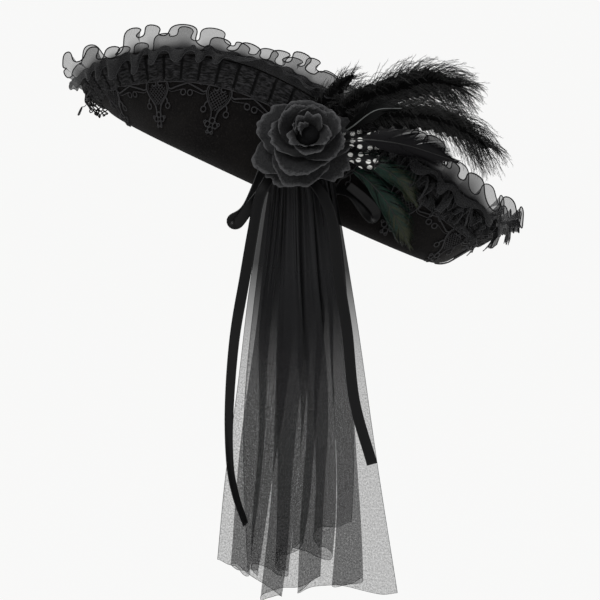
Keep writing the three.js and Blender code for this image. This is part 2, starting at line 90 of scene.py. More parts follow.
def make_light(name, place, aim, size, power):
    data = bpy.data.lights.new(name, "AREA")
    data.shape, data.size, data.energy = "SQUARE", size, power
    light = bpy.data.objects.new(name, data)
    light.location = place
    light.rotation_euler = (Vector(aim) - Vector(place)).to_track_quat("-Z", "Y").to_euler()
    bpy.context.collection.objects.link(light)


def make_world():
    """The camera sees pale paper all round, and the cloth is lit by a softer, cooler sky."""
    world = bpy.data.worlds.new("studio")
    world.use_nodes = True
    nodes, links = world.node_tree.nodes, world.node_tree.links
    seen = nodes["Background"]
    seen.inputs[0].default_value = (0.94, 0.94, 0.935, 1)
    lighting = nodes.new("ShaderNodeBackground")
    lighting.inputs[0].default_value = (0.97, 0.98, 1, 1)
    lighting.inputs[1].default_value = 0.42
    path, mix = nodes.new("ShaderNodeLightPath"), nodes.new("ShaderNodeMixShader")
    links.new(path.outputs["Is Camera Ray"], mix.inputs[0])
    links.new(lighting.outputs[0], mix.inputs[1])
    links.new(seen.outputs[0], mix.inputs[2])
    links.new(mix.outputs[0], nodes["World Output"].inputs[0])
    return world


def make_studio():
    scene = bpy.context.scene
    scene.view_settings.view_transform = "Standard"
    scene.cycles.transparent_max_bounces = 32
    scene.world = make_world()
    for name, settings in SOFTBOXES.items():
        make_light(name, *settings)
    bpy.ops.mesh.primitive_plane_add(size=FLOOR_SIZE, location=(0, 0, FLOOR_HEIGHT))
    floor = bpy.context.object
    floor.name = "floor"
    paper = Material("floor_paper", colour=(0.01, 0.01, 0.01), roughness=1.0, Specular_IOR_Level=0.0)
    paper.shader.inputs["Emission Color"].default_value = PAPER_WHITE
    paper.shader.inputs["Emission Strength"].default_value = 1.0
    floor.data.materials.append(paper.data)


# Materials: each keeps its own shader, and shared effects are node groups
def group_socket(group, name, direction, kind, value=None):
    socket = group.interface.new_socket(name, in_out=direction, socket_type="NodeSocket" + kind)
    if value is not None:
        socket.default_value = value


def add_node(nodes, links, kind, settings, inputs):
    """A node with its settings. An input is linked if it is a socket, and is set if it is a value."""
    node = nodes.new(kind)
    for name, value in (settings or {}).items():
        setattr(node, name, value)
    for name, value in inputs.items():
        socket = node.inputs[name.replace("_", " ")]
        if isinstance(value, bpy.types.NodeSocket):
            links.new(value, socket)
        else:
            socket.default_value = value
    return node


class Material:
    """A cloth's or feather's material, with the nodes that its finish needs."""

    def __init__(self, name, colour, roughness, **constants):
        self.data = bpy.data.materials.new(name)
        self.data.use_nodes = True
        self.nodes = self.data.node_tree.nodes
        self.links = self.data.node_tree.links
        self.shader = self.nodes["Principled BSDF"]
        self.shader.inputs["Base Color"].default_value = (*colour, 1)
        self.shader.inputs["Roughness"].default_value = roughness
        for socket, value in constants.items():
            self.shader.inputs[socket.replace("_", " ")].default_value = value

    def add(self, kind, settings=None, **inputs):
        return add_node(self.nodes, self.links, kind, settings, inputs)

    def coordinates(self, kind="Object", scale=(1, 1, 1)):
        place = self.add("ShaderNodeTexCoord").outputs[kind]
        return self.add("ShaderNodeMapping", Vector=place, Scale=scale).outputs[0]

    def across_and_down(self):
        """The two directions of the piece's own UV map."""
        place = self.add("ShaderNodeTexCoord").outputs["UV"]
        return self.add("ShaderNodeSeparateXYZ", Vector=place).outputs

    def noise(self, scale, detail=3, kind="Object", stretch=(1, 1, 1), rough=0.5):
        place = self.coordinates(kind, stretch)
        node = self.add("ShaderNodeTexNoise", Vector=place, Scale=scale, Detail=detail, Roughness=rough)
        return node.outputs[0]

    def math(self, operation, *values):
        node = self.add("ShaderNodeMath", {"operation": operation})
        for socket, value in zip(node.inputs, values):
            if isinstance(value, bpy.types.NodeSocket):
                self.links.new(value, socket)
            else:
                socket.default_value = value
        return node.outputs[0]

    def fade(self, value, start, end, from_value, to_value):
        """Turns a value between start and end into one between from_value and to_value."""
        inputs = {"From_Min": start, "From_Max": end, "To_Min": from_value, "To_Max": to_value}
        return self.add("ShaderNodeMapRange", Value=value, **inputs).outputs[0]

    def ramp(self, factor, stops, colours):
        node = self.add("ShaderNodeValToRGB", Fac=factor)
        for k, (stop, colour) in enumerate(zip(stops, colours)):
            element = node.color_ramp.elements[k] if k < 2 else node.color_ramp.elements.new(stop)
            element.position = stop
            element.color = (*colour, 1)
        return node.outputs[0]

    def effect(self, group, **inputs):
        return self.add("ShaderNodeGroup", {"node_tree": group}, **inputs)

    def link(self, output, socket):
        self.links.new(output, self.shader.inputs[socket])

    def bump(self, height, strength, distance):
        node = self.add("ShaderNodeBump", Height=height, Strength=strength, Distance=distance)
        self.link(node.outputs[0], "Normal")


def weave_group():
    """Crossed threads on the UV map, which holds metres of cloth: a height and a mask of the threads."""
    group = bpy.data.node_groups.new("weave", "ShaderNodeTree")
    group_socket(group, "Threads per Metre", "INPUT", "Float", 1500)
    group_socket(group, "Gap", "INPUT", "Float", 0.5)
    group_socket(group, "Height", "OUTPUT", "Float")
    group_socket(group, "Cover", "OUTPUT", "Float")
    nodes, links = group.nodes, group.links

    def add(kind, settings=None, **inputs):
        return add_node(nodes, links, kind, settings, inputs)

    entry, leave = nodes.new("NodeGroupInput"), nodes.new("NodeGroupOutput")
    place = add("ShaderNodeTexCoord")
    scaled = add("ShaderNodeVectorMath", {"operation": "SCALE"}, Scale=entry.outputs["Threads per Metre"])
    links.new(place.outputs["UV"], scaled.inputs[0])
    split = add("ShaderNodeSeparateXYZ", Vector=scaled.outputs[0])
    top = add("ShaderNodeMath", {"operation": "MAXIMUM"})
    for number, axis in enumerate(("X", "Y")):
        turns = add("ShaderNodeMath", {"operation": "MULTIPLY"})
        turns.inputs[1].default_value = TAU
        sine = add("ShaderNodeMath", {"operation": "SINE"})
        links.new(split.outputs[axis], turns.inputs[0])
        links.new(turns.outputs[0], sine.inputs[0])
        links.new(sine.outputs[0], top.inputs[number])
    links.new(top.outputs[0], leave.inputs["Height"])
    cover = add("ShaderNodeMath", {"operation": "GREATER_THAN"})
    links.new(top.outputs[0], cover.inputs[0])
    links.new(entry.outputs["Gap"], cover.inputs[1])
    links.new(cover.outputs[0], leave.inputs["Cover"])
    return group


def fibre_group():
    """Tangled fibre on the piece's own coordinates: a height and a mask of loose ends."""
    group = bpy.data.node_groups.new("fibre", "ShaderNodeTree")
    group_socket(group, "Scale", "INPUT", "Float", 900)
    group_socket(group, "Height", "OUTPUT", "Float")
    group_socket(group, "Fleck", "OUTPUT", "Float")
    nodes, links = group.nodes, group.links
    entry, leave = nodes.new("NodeGroupInput"), nodes.new("NodeGroupOutput")
    place = nodes.new("ShaderNodeTexCoord")
    fine = nodes.new("ShaderNodeTexNoise")
    fine.inputs["Detail"].default_value = 5
    fine.inputs["Distortion"].default_value = 1.6
    links.new(place.outputs["Object"], fine.inputs["Vector"])
    links.new(entry.outputs["Scale"], fine.inputs["Scale"])
    links.new(fine.outputs[0], leave.inputs["Height"])
    sharp = nodes.new("ShaderNodeMapRange")
    sharp.inputs["From Min"].default_value = 0.56
    sharp.inputs["From Max"].default_value = 0.72
    links.new(fine.outputs[0], sharp.inputs["Value"])
    links.new(sharp.outputs[0], leave.inputs["Fleck"])
    return group


# Geometry Nodes: each tree turns plain lines or faces into something that repeats along them
class Tree:
    """A Geometry Nodes tree with named inputs, which ends in a plain mesh of one material."""

    def __init__(self, name, **inputs):
        self.group = bpy.data.node_groups.new(name, "GeometryNodeTree")
        group_socket(self.group, "Geometry", "INPUT", "Geometry")
        for label, (kind, value) in inputs.items():
            group_socket(self.group, label.replace("_", " "), "INPUT", kind, value)
        group_socket(self.group, "Geometry", "OUTPUT", "Geometry")
        self.entry = self.group.nodes.new("NodeGroupInput")
        self.leave = self.group.nodes.new("NodeGroupOutput")

    def input(self, label):
        return self.entry.outputs[label.replace("_", " ")]

    def add(self, kind, settings=None, **inputs):
        return add_node(self.group.nodes, self.group.links, kind, settings, inputs)

    def random(self, low, high, kind="FLOAT"):
        """A random value for each point, from the tree's own seed."""
        node = self.add("FunctionNodeRandomValue", {"data_type": kind}, Seed=self.input("Seed"))
        node.inputs["Min"].default_value = low
        node.inputs["Max"].default_value = high
        return node.outputs["Value"]

    def turn(self, rotation, by):
        """A rotation turned further about its own axes."""
        return self.add("FunctionNodeRotateRotation", {"rotation_space": "LOCAL"}, Rotation=rotation,
                        Rotate_By=by).outputs[0]

    def finish(self, geometry):
        real = self.add("GeometryNodeRealizeInstances", Geometry=geometry)
        painted = self.add("GeometryNodeSetMaterial", Geometry=real.outputs[0],
                           Material=self.input("Material"))
        self.group.links.new(painted.outputs[0], self.leave.inputs[0])
        return self.group


def thread_tree():
    """Every run of edges becomes a round thread. The point attribute girth scales its radius."""
    tree = Tree("thread", Radius=("Float", 0.0004), Sides=("Int", 5), Material=("Material", None))
    lines = tree.add("GeometryNodeMeshToCurve", Mesh=tree.input("Geometry"))
    girth = tree.add("GeometryNodeInputNamedAttribute", {"data_type": "FLOAT"}, Name="girth")
    sized = tree.add("GeometryNodeSetCurveRadius", Curve=lines.outputs[0], Radius=girth.outputs[0])
    circle = tree.add("GeometryNodeCurvePrimitiveCircle", Resolution=tree.input("Sides"),
                      Radius=tree.input("Radius"))
    body = tree.add("GeometryNodeCurveToMesh", Curve=sized.outputs[0], Profile_Curve=circle.outputs[0])
    if "Scale" in body.inputs:
        radius = tree.add("GeometryNodeInputNamedAttribute", {"data_type": "FLOAT"}, Name="girth")
        tree.group.links.new(radius.outputs[0], body.inputs["Scale"])
    body.inputs["Fill Caps"].default_value = True
    return tree.finish(body.outputs[0])


def hair_blade(tree):
    """A flat triangle that stands on the origin along Z, Length tall and Breadth wide."""
    cone = tree.add("GeometryNodeMeshCone", Vertices=3, Radius_Top=0.0, Radius_Bottom=tree.input("Breadth"),
                    Depth=tree.input("Length"))
    return cone.outputs["Mesh"]


def barbule_tree():
    """Small flat hairs stand round every run of edges, each turned about the run and leaning along it."""
    tree = Tree("barbule", Spacing=("Float", 0.002), Length=("Float", 0.004), Breadth=("Float", 0.0003),
                Lean=("Float", 0.9), Seed=("Int", SEED), Material=("Material", None))
    lines = tree.add("GeometryNodeMeshToCurve", Mesh=tree.input("Geometry"))
    points = tree.add("GeometryNodeCurveToPoints", {"mode": "LENGTH"}, Curve=lines.outputs[0],
                      Length=tree.input("Spacing"))
    aligned = tree.add("FunctionNodeAlignRotationToVector", {"axis": "Z"}, Vector=points.outputs["Tangent"])
    about = tree.add("ShaderNodeCombineXYZ", Z=tree.random(0.0, TAU))
    lean = tree.add("ShaderNodeCombineXYZ", X=tree.input("Lean"))
    leaned = tree.turn(tree.turn(aligned.outputs[0], about.outputs[0]), lean.outputs[0])
    placed = tree.add("GeometryNodeInstanceOnPoints", Points=points.outputs["Points"],
                      Instance=hair_blade(tree), Rotation=leaned, Scale=tree.random(0.5, 1.1))
    return tree.finish(placed.outputs[0])


def fuzz_tree():
    """Loose fibres scattered over a surface, lying at random angles to it."""
    tree = Tree("fuzz", Density=("Float", 100000.0), Length=("Float", 0.0012), Breadth=("Float", 0.00005),
                Seed=("Int", SEED), Material=("Material", None))
    points = tree.add("GeometryNodeDistributePointsOnFaces", Mesh=tree.input("Geometry"),
                      Density=tree.input("Density"), Seed=tree.input("Seed"))
    tilt_by = tree.random((-1.2, -1.2, 0), (1.2, 1.2, TAU), "FLOAT_VECTOR")
    placed = tree.add("GeometryNodeInstanceOnPoints", Points=points.outputs["Points"],
                      Instance=hair_blade(tree), Rotation=tree.turn(points.outputs["Rotation"], tilt_by),
                      Scale=tree.random(0.4, 1.3))
    return tree.finish(placed.outputs[0])


def grow(source, group, **inputs):
    """Runs a tree on an object and keeps the result as its plain mesh."""
    modifier = source.modifiers.new(group.name, "NODES")
    modifier.node_group = group
    for item in group.interface.items_tree:
        label = item.name.replace(" ", "_")
        if item.in_out == "INPUT" and label in inputs:
            modifier[item.identifier] = inputs[label]
    graph = bpy.context.evaluated_depsgraph_get()
    mesh = bpy.data.meshes.new_from_object(source.evaluated_get(graph), depsgraph=graph)
    source.modifiers.remove(modifier)
    old, source.data = source.data, mesh
    mesh.name = source.name
    bpy.data.meshes.remove(old)
    return source


# Pieces, and how they are made and kept
def make_object(name, points, faces=(), edges=(), material=None):
    mesh = bpy.data.meshes.new(name)
    places = (np.asarray(points, float) * MM).tolist()
    mesh.from_pydata(places, [tuple(edge) for edge in edges], [tuple(face) for face in faces])
    mesh.update()
    if len(faces):
        mesh.shade_smooth()
    if material is not None:
        mesh.materials.append(material.data)
    piece = bpy.data.objects.new(name, mesh)
    bpy.context.collection.objects.link(piece)
    return piece


def grid_faces(columns, rows, wrap=False):
    """Quads between columns x rows points, which are stored column by column."""
    j, i = np.meshgrid(np.arange(columns - (not wrap)), np.arange(rows - 1), indexing="ij")
    j, i = j.ravel(), i.ravel()
    right, below = (j + 1) % columns, (i + 1) % rows
    return np.stack([j * rows + i, j * rows + below, right * rows + below, right * rows + i], axis=1)


def make_sheet(name, points, material, uv=None, wrap=False, flip=False):
    """A surface through a grid of points. Its UV map holds millimetres of cloth turned into metres."""
    columns, rows = points.shape[:2]
    faces = grid_faces(columns, rows, wrap)
    if flip:
        faces = faces[:, ::-1]
    piece = make_object(name, points.reshape(-1, 3), faces, material=material)
    if uv is not None:
        set_uv(piece.data, uv, faces, wrap)
    return piece


def set_uv(mesh, uv, faces, wrap):
    """Writes the grid's UV. Where the sheet closes on itself, the last quads run on past its length."""
    columns, rows = uv.shape[:2]
    corner = (uv.reshape(-1, 2) * MM)[faces].copy()
    if wrap:
        width = (uv[-1, 0, 0] - uv[0, 0, 0]) * MM * columns / (columns - 1)
        number = faces // rows
        seam = (number == 0) & (number.max(axis=1, keepdims=True) == columns - 1)
        corner[..., 0] += np.where(seam, width, 0)
    layer = mesh.uv_layers.new(name="cloth")
    layer.data.foreach_set("uv", corner.reshape(-1))


def grid_uv(across, down):
    """A grid's UV from its distances across and down, in millimetres."""
    return np.stack(np.broadcast_arrays(across, down), axis=-1)


def make_threads(name, runs, radius, material, sides=5, closed=(), girths=None):
    """Round threads along polylines, each an array of points. closed holds the numbers of runs that are
    rings, and girths scales the radius along each run."""
    points = np.concatenate(runs)
    edges, start = [], 0
    for k, run in enumerate(runs):
        index = np.arange(start, start + len(run))
        edges += list(zip(index[:-1], index[1:]))
        if k in closed:
            edges.append((index[-1], index[0]))
        start += len(run)
    piece = make_object(name, points, edges=edges)
    girth = piece.data.attributes.new("girth", "FLOAT", "POINT")
    girth.data.foreach_set("value", np.ones(len(points)) if girths is None else np.concatenate(girths))
    grow(piece, THREAD, Radius=radius * MM, Sides=sides, Material=material.data)
    piece.data.shade_smooth()
    return piece


def join(name, pieces):
    """Several pieces of one material become one."""
    with bpy.context.temp_override(active_object=pieces[0], selected_editable_objects=pieces):
        bpy.ops.object.join()
    pieces[0].name = name
    pieces[0].data.name = name
    return pieces[0]


def thicken(piece, wall, offset=0):
    modifier = piece.modifiers.new("wall", "SOLIDIFY")
    modifier.thickness, modifier.offset = wall * MM, offset
    return piece


def close_poles(piece):
    """Merges the points that meet at the top or foot of a turned form."""
    merge = piece.modifiers.new("poles", "WELD")
    merge.merge_threshold = 0.01 * MM


def keep(piece, slot, *nodes):
    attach(piece, "root")
    if nodes:
        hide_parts(*nodes)
    return piece


# The felt's surface
def column(rows, places, number):
    """A column of a table at several places, on a smooth curve through its rows."""
    table = np.array(rows, float)
    x, y = table[:, 0], table[:, number]
    last = len(x) - 1
    k = np.clip(np.searchsorted(x, places, side="left") - 1, 0, last - 1)
    share = np.clip((places - x[k]) / (x[k + 1] - x[k]), 0, 1)
    before = np.where(k > 0, y[k - 1], y[1])
    after = np.where(k + 2 <= last, y[np.minimum(k + 2, last)], y[last - 1])
    a, b = y[k], y[k + 1]
    blend = share ** 2 * (3 - 2 * share)
    rise = (b - before) / 2 * (share ** 3 - 2 * share ** 2 + share)
    return a * (1 - blend) + b * blend + rise + (after - a) / 2 * (share ** 3 - share ** 2)


def brim_at(azimuth):
    turn = np.mod(azimuth, 360)
    place = np.where(turn > 180, 360 - turn, turn)
    fold, upturn, flap = (column(BRIM_SECTIONS, place, k) for k in (1, 2, 3))
    return fold, np.radians(upturn), flap


def crown_radius(azimuth):
    angle = np.radians(azimuth)
    return 1 / np.hypot(np.sin(angle) / CROWN_WIDTH, np.cos(angle) / CROWN_LENGTH)


def polar(azimuth, radius, height):
    angle = np.radians(azimuth)
    return np.stack(np.broadcast_arrays(radius * np.sin(angle), -radius * np.cos(angle), height), axis=-1)


def brim_middle(azimuth, cloth):
    """The middle of the brim's wall. cloth is counted from the fold: less than 0 on the flat of the brim."""
    fold, upturn, _ = brim_at(azimuth)
    arc = np.clip(cloth, 0, BEND_RADIUS * upturn) / BEND_RADIUS
    straight = np.maximum(cloth - BEND_RADIUS * upturn, 0)
    out = np.minimum(cloth, 0) + BEND_RADIUS * np.sin(arc) + straight * np.cos(upturn)
    up = BEND_RADIUS * (1 - np.cos(arc)) + straight * np.sin(upturn)
    return polar(azimuth, fold + out, up)


def unit(vectors):
    return vectors / np.maximum(np.linalg.norm(vectors, axis=-1, keepdims=True), 1e-9)


def brim_frame(azimuth, cloth):
    """The point, and the directions along the brim, up its cloth and towards the crown."""
    step_turn, step_cloth = 0.25, 0.5
    point = brim_middle(azimuth, cloth)
    along = unit(brim_middle(azimuth + step_turn, cloth) - brim_middle(azimuth - step_turn, cloth))
    up = unit(brim_middle(azimuth, cloth + step_cloth) - brim_middle(azimuth, cloth - step_cloth))
    return point, along, up, unit(np.cross(up, along))


def from_edge_point(azimuth, from_edge, lift):
    """A point outside the flap, lift away from its outer face."""
    _, _, flap = brim_at(azimuth)
    point, _, _, inward = brim_frame(azimuth, flap - from_edge)
    return point - inward * (FELT_WALL / 2 + lift)[..., None]


def tilt(points):
    """From the hat's own level to the way that it is worn, tilted back."""
    x, y, z = np.moveaxis(points, -1, 0)
    back = y * math.cos(TILT) + z * math.sin(TILT)
    up = z * math.cos(TILT) - y * math.sin(TILT)
    return np.stack([x, back, up], axis=-1)


def seat_point(azimuth, from_edge, lift):
    """One point outside the flap, on the hat as it is worn."""
    return tilt(from_edge_point(*(np.array(float(value)) for value in (azimuth, from_edge, lift))))


def rim_azimuths(step):
    """Azimuths at an even step of length along the brim's edge, and that step."""
    fine = np.linspace(0, 360, 2881)
    edge = brim_middle(fine, brim_at(fine)[2])
    length = np.concatenate([[0], np.cumsum(np.linalg.norm(np.diff(edge, axis=0), axis=1))])
    count = round(length[-1] / step)
    places = np.arange(count) * length[-1] / count
    return np.interp(places, length, fine), length[-1] / count


def felt_body():
    azimuth = np.linspace(0, 360, FELT_COLUMNS, endpoint=False)[:, None]
    foot = crown_radius(azimuth)
    fold, upturn, flap = brim_at(azimuth)
    start = foot + CROWN_FILLET - fold
    bent = BEND_RADIUS * upturn
    steps = np.linspace(0, 1, CROWN_ROWS)[None, :]
    turn = np.linspace(0.25, 1, 4)[None, :] * math.pi / 2
    share = np.linspace(0.1, 1, 10)[None, :]
    rows = [(place, *row) for place, row in zip(np.linspace(0, 1, len(CROWN_SECTION)), CROWN_SECTION)]
    crown = polar(azimuth, foot * column(rows, steps, 1), CROWN_HEIGHT * column(rows, steps, 2))
    fillet = polar(azimuth, foot + CROWN_FILLET * (1 - np.cos(turn)), CROWN_FILLET * (1 - np.sin(turn)))
    flat = brim_middle(azimuth, start * (1 - share))
    bend = brim_middle(azimuth, bent * share)
    rise = brim_middle(azimuth, bent + (flap - bent) * share)
    points = tilt(np.concatenate([crown, fillet, flat, bend, rise], axis=1))
    felt = make_sheet("felt_hat", points, FELT, wrap=True, flip=True)
    make_fuzz(points[:, CROWN_ROWS + 5:])
    close_poles(felt)
    thicken(felt, FELT_WALL)
    keep(felt, "felt", "felt_body")


def make_fuzz(points):
    """Loose fibres on the brim's two faces."""
    fuzz = thicken(make_sheet("felt_fuzz", points, FELT, wrap=True, flip=True), FELT_WALL)
    grow(fuzz, FUZZ, Density=FUZZ_DENSITY, Length=1.5 * MM, Breadth=0.035 * MM, Seed=SEED,
         Material=FELT.data)
    fuzz.modifiers.clear()
    keep(fuzz, "felt")


# Lines and random waves
def bumps(places, seed, waves, amount):
    """A smooth uneven value along a closed line: places run from 0 to 1."""
    rng = np.random.default_rng(seed)
    value = np.zeros_like(places)
    for wave in waves:
        value += rng.normal() * np.sin(TAU * wave * places + rng.uniform(0, TAU))
    return amount * value / math.sqrt(len(waves))


def ripple(rng, waves, along, shift=0.0):
    """Random sines along a line, one for each wave number."""
    return sum(rng.normal() * np.sin(wave * along + rng.uniform(0, TAU) + shift) for wave in waves)


def smooth_path(points, per_span=6):
    """A smooth line through points of any dimension."""
    p = np.array(points, float)
    p = np.concatenate([[2 * p[0] - p[1]], p, [2 * p[-1] - p[-2]]])
    t = np.linspace(0, 1, per_span, endpoint=False)[:, None]
    spans = []
    for a, b, c, d in zip(p[:-3], p[1:-2], p[2:-1], p[3:]):
        bend, twist = 2 * a - 5 * b + 4 * c - d, 3 * b - a - 3 * c + d
        spans.append(0.5 * (2 * b + (c - a) * t + bend * t ** 2 + twist * t ** 3))
    return np.concatenate(spans + [p[-2][None]])


def along_line(line, places):
    """Points and directions at shares of a line's length, and that length."""
    steps = np.linalg.norm(np.diff(line, axis=0), axis=1)
    length = np.concatenate([[0], np.cumsum(steps)])
    at = np.asarray(places) * length[-1]

    def point_at(distance):
        return np.stack([np.interp(distance, length, line[:, k]) for k in range(3)], axis=-1)

    ahead, behind = point_at(np.minimum(at + 1, length[-1])), point_at(np.maximum(at - 1, 0))
    return point_at(at), unit(ahead - behind), length[-1]


def mirrored(line):
    return line * np.array([-1, 1])


# The way that feathers and ribbons face: to the wearer's left
OUTWARD = np.array([1.0, 0, 0])


def across_and_facing(tangent):
    """The directions across a feather or ribbon, and away from its face."""
    across = unit(np.cross(tangent, OUTWARD))
    return across, unit(np.cross(across, tangent))


# Ruffles

# Changes along the rim, each a size, its azimuth and its width in degrees: broader waves and calmer folds
# at the tips, and a top that is lower by some millimetres along the sides
WIDER_WAVES = [(0.5, 0, 16), (0.3, 140, 20)]
CALMER_FOLDS = [(0.8, 0, 22), (0.15, 140, 22)]
LOWER_TOPS = [(9, 31, 7), (8, 58, 9), (3, 76, 10)]
# Behind the feathers the organza is crushed, and so its net stays closed further up
CRUSHED_AT, CRUSHED_WIDTH = 116, 19
RUFFLE_STEP, RUFFLE_ROWS, FULLNESS = 1.1, 15, 1.9
# How far the dark ruffle folds over, by azimuth
DARK_FALL = ((0, 15, 45, 60, 95, 108, 150, 180), (0.6, 0.95, 0.95, 0.55, 0.6, 0.95, 0.9, 0.7))
# Two more rows of the dark ruffle at the back corner: seed, distance from the edge, first and last azimuth
CRUSHED_FRILLS = {"crushed_frill_upper": (41, 8, (98, 146)), "crushed_frill_lower": (47, 23, (102, 140))}


def bells(turn, rows):
    """The sum of smooth bells along the rim, each a size, an azimuth and a width."""
    return sum(size * np.exp(-((turn - middle) / width) ** 2) for size, middle, width in rows)


def ruffle(name, material, cord_material, seed, wave, foot, top, height, curl, spread, lap, roll, lift,
           fall=((0, 180), (1, 1)), window=None, from_edge=0, uneven=0.26, cord=0.5):
    """A gathered strip along the rim, or along a window of it. Its free edge swings in and out by top
    millimetres and doubles back by curl, its inner folds are broader by spread, and its outer folds drop by
    lap. roll says how far it climbs and falls back, and where it starts and how far it leans away from the
    flap. It returns the cloth, the cord on its edge and the height of the flat strip."""
    azimuth, step = rim_azimuths(RUFFLE_STEP)
    if window:
        azimuth = azimuth[(azimuth > window[0]) & (azimuth < window[1])]
    count = len(azimuth)
    places = np.arange(count) / count
    turn = np.where(azimuth > 180, 360 - azimuth, azimuth)
    rate = 1 - bells(turn, WIDER_WAVES)
    waves = round(step * count / wave * rate.mean())
    progress = np.concatenate([[0], np.cumsum(rate)[:-1]]) / rate.sum()
    phase = TAU * (waves * progress + bumps(places, seed, (5, 9, 14, 23), 0.34))
    strength = (1 - bells(turn, CALMER_FOLDS)) * (1 + bumps(places, seed + 1, (7, 13, 19, 31), uneven))
    tall = 1 + bumps(places, seed + 2, (11, 17, 29), 0.07 + uneven / 4)
    low = bells(turn, LOWER_TOPS)
    if window:
        ends = np.clip(np.minimum(places, 1 - places) / 0.12, 0, 1)
        tall, strength, low = tall * ends ** 0.5, strength * ends, 0 * low
    rows = np.linspace(0, 1, RUFFLE_ROWS)[None, :]
    edge, along, up, inward = brim_frame(azimuth, brim_at(azimuth)[2] - from_edge)
    drop = np.interp(turn, *fall)[:, None]
    swing = (np.sin(phase) * strength)[:, None] * drop ** 2
    depth = (foot + (top - foot) * rows ** 1.3) * swing
    shift = (spread * np.cos(phase) - curl * np.sin(2 * phase)) * strength
    climb, fall_back, start, lean = roll
    rise = lift + climb * height * rows * tall[:, None] - fall_back * drop * height * rows ** 2
    rise = rise - (lap * swing + low[:, None]) * rows ** 1.5
    out = start + lean * drop * height * rows ** 1.3 - depth
    points = edge[:, None] + up[:, None] * rise[..., None] + inward[:, None] * out[..., None]
    points = tilt(points + along[:, None] * (shift[:, None] * rows ** 1.6)[..., None])
    crushed = 1 - 0.7 * np.exp(-((azimuth - CRUSHED_AT) / CRUSHED_WIDTH) ** 4)[:, None]
    uv = grid_uv(np.arange(count)[:, None] * step * FULLNESS, rows * height * crushed)
    cloth = make_sheet(name, points, material, uv, wrap=not window)
    closed = () if window else (0,)
    border = make_threads(name + "_cord", [points[:, -1]], cord, cord_material, closed=closed)
    flat_height = np.linalg.norm(np.diff(points, axis=1), axis=-1).sum(axis=1).mean() * MM
    return cloth, border, float(flat_height)


def keep_ruffle(parts, slot, *nodes):
    """Keeps the ruffle's cloth and its cord. The strip's flat height is measured on the ruffle, and nothing
    here uses it.
    """
    cloth, cord, height = parts
    keep(cloth, slot, *nodes)
    keep(cord, slot)


def make_ruffles():
    organza = ruffle("organza_frill", ORGANZA, CORD, seed=11, wave=27, foot=1.2, top=8, height=24, curl=2.8,
                     spread=2.3, lap=3.8, roll=(1, 0.06, 0, -0.1), lift=-3, cord=0.62)
    keep_ruffle(organza, "organza", "organza_ruffle")
    dark = ruffle("dark_frill", DARK, DARK_CORD, seed=23, wave=21, foot=1.5, top=6, height=24, curl=0.8,
                  spread=0.6, lap=5, roll=(1.15, 1.15, -3.2, -0.42), lift=-3, fall=DARK_FALL, cord=0.4,
                  uneven=0.4)
    keep_ruffle(dark, "dark", "dark_ruffle")
    for name, (seed, from_edge, window) in CRUSHED_FRILLS.items():
        crushed = ruffle(name, DARK, DARK_CORD, seed=seed, wave=19, foot=2, top=8, height=24, curl=3.2,
                         spread=1, lap=6, roll=(1.1, 0.9, -4.6, -0.34), lift=-4, window=window,
                         from_edge=from_edge, uneven=0.5, cord=0.45)
        keep_ruffle(crushed, "dark")


# Braid
TRIM_FROM_EDGE, TRIM_HEIGHT, TRIM_PLEATS = 5, 25, 76
TRIM_STEP, TRIM_ROWS, TRIM_WALL = 1.15, 28, 0.4


def make_trim():
    azimuth, step = rim_azimuths(TRIM_STEP)
    places = np.arange(len(azimuth)) / len(azimuth)
    pleat = np.mod(places * TRIM_PLEATS, 1)
    box = np.clip(np.minimum(pleat, 1 - pleat) / 0.09, 0, 1)
    box = (box * box * (3 - 2 * box))[:, None]
    rows = np.linspace(0, 1, TRIM_ROWS)[None, :]
    sway = bumps(places, 31, (40, 76, 97, 131), 0.45)[:, None]
    crinkle = bumps(places, 33, (61, 113, 171, 229), 0.6)[:, None]
    ridge = np.sin(TAU * (3.1 * rows + sway)) * 0.45 + np.sin(TAU * (6.7 * rows - 1.6 * crinkle)) * 0.3
    rough = np.random.default_rng(5).normal(0, 0.16, (len(azimuth), TRIM_ROWS))
    rounded = np.clip(np.minimum(rows, 1 - rows) / 0.08, 0, 1) ** 0.5
    lift = 0.4 + (0.5 + 1.6 * box + (ridge + rough) * (0.3 + 0.7 * box)) * rounded
    reach = TRIM_HEIGHT * (1 + 0.05 * np.sin(TAU * TRIM_PLEATS * places)[:, None] + 0.03 * crinkle)
    points = tilt(from_edge_point(azimuth[:, None], TRIM_FROM_EDGE + reach * rows, lift))
    uv = grid_uv(np.arange(len(azimuth))[:, None] * step, rows * TRIM_HEIGHT)
    trim = make_sheet("pleated_braid", points, BRAID, uv, wrap=True)
    thicken(trim, TRIM_WALL, 1)
    keep(trim, "trim", "pleated_trim")


# Lace
LACE_MOTIFS, LACE_LIFT = 20, 1.2
# One motif in the flat: x from its middle, and y down from the braid. Its cords are also laid mirrored, and
# its rings and beads are listed for both sides.
MOTIF_SIDE = [(-12.5, 3), (-13.5, 8), (-11.5, 15), (-7.5, 21), (-4, 26), (-2.8, 32), (-3.5, 36)]
MOTIF_INNER = [(-10.8, 4), (-11.6, 8.5), (-9.6, 15), (-6, 20.5), (-2.4, 26)]
MOTIF_SCROLL = [(-13, 5), (-11, 1.5), (-6.5, 0.2), (-2.2, 1.6), (-1.2, 4.6), (-3.8, 6.4), (-6.2, 4.8)]
MOTIF_STEM = [(-10.5, 18), (-12.5, 20.5), (-12.8, 23.4)]
MOTIF_RINGS = [(-13.2, 26.4), (13.2, 26.4), (-4.7, 39.6), (4.7, 39.6), (0, 35.4), (0, 44.6)]
MOTIF_BEADS = [(-2.6, 47), (2.6, 47), (-8, 38), (8, 38)]
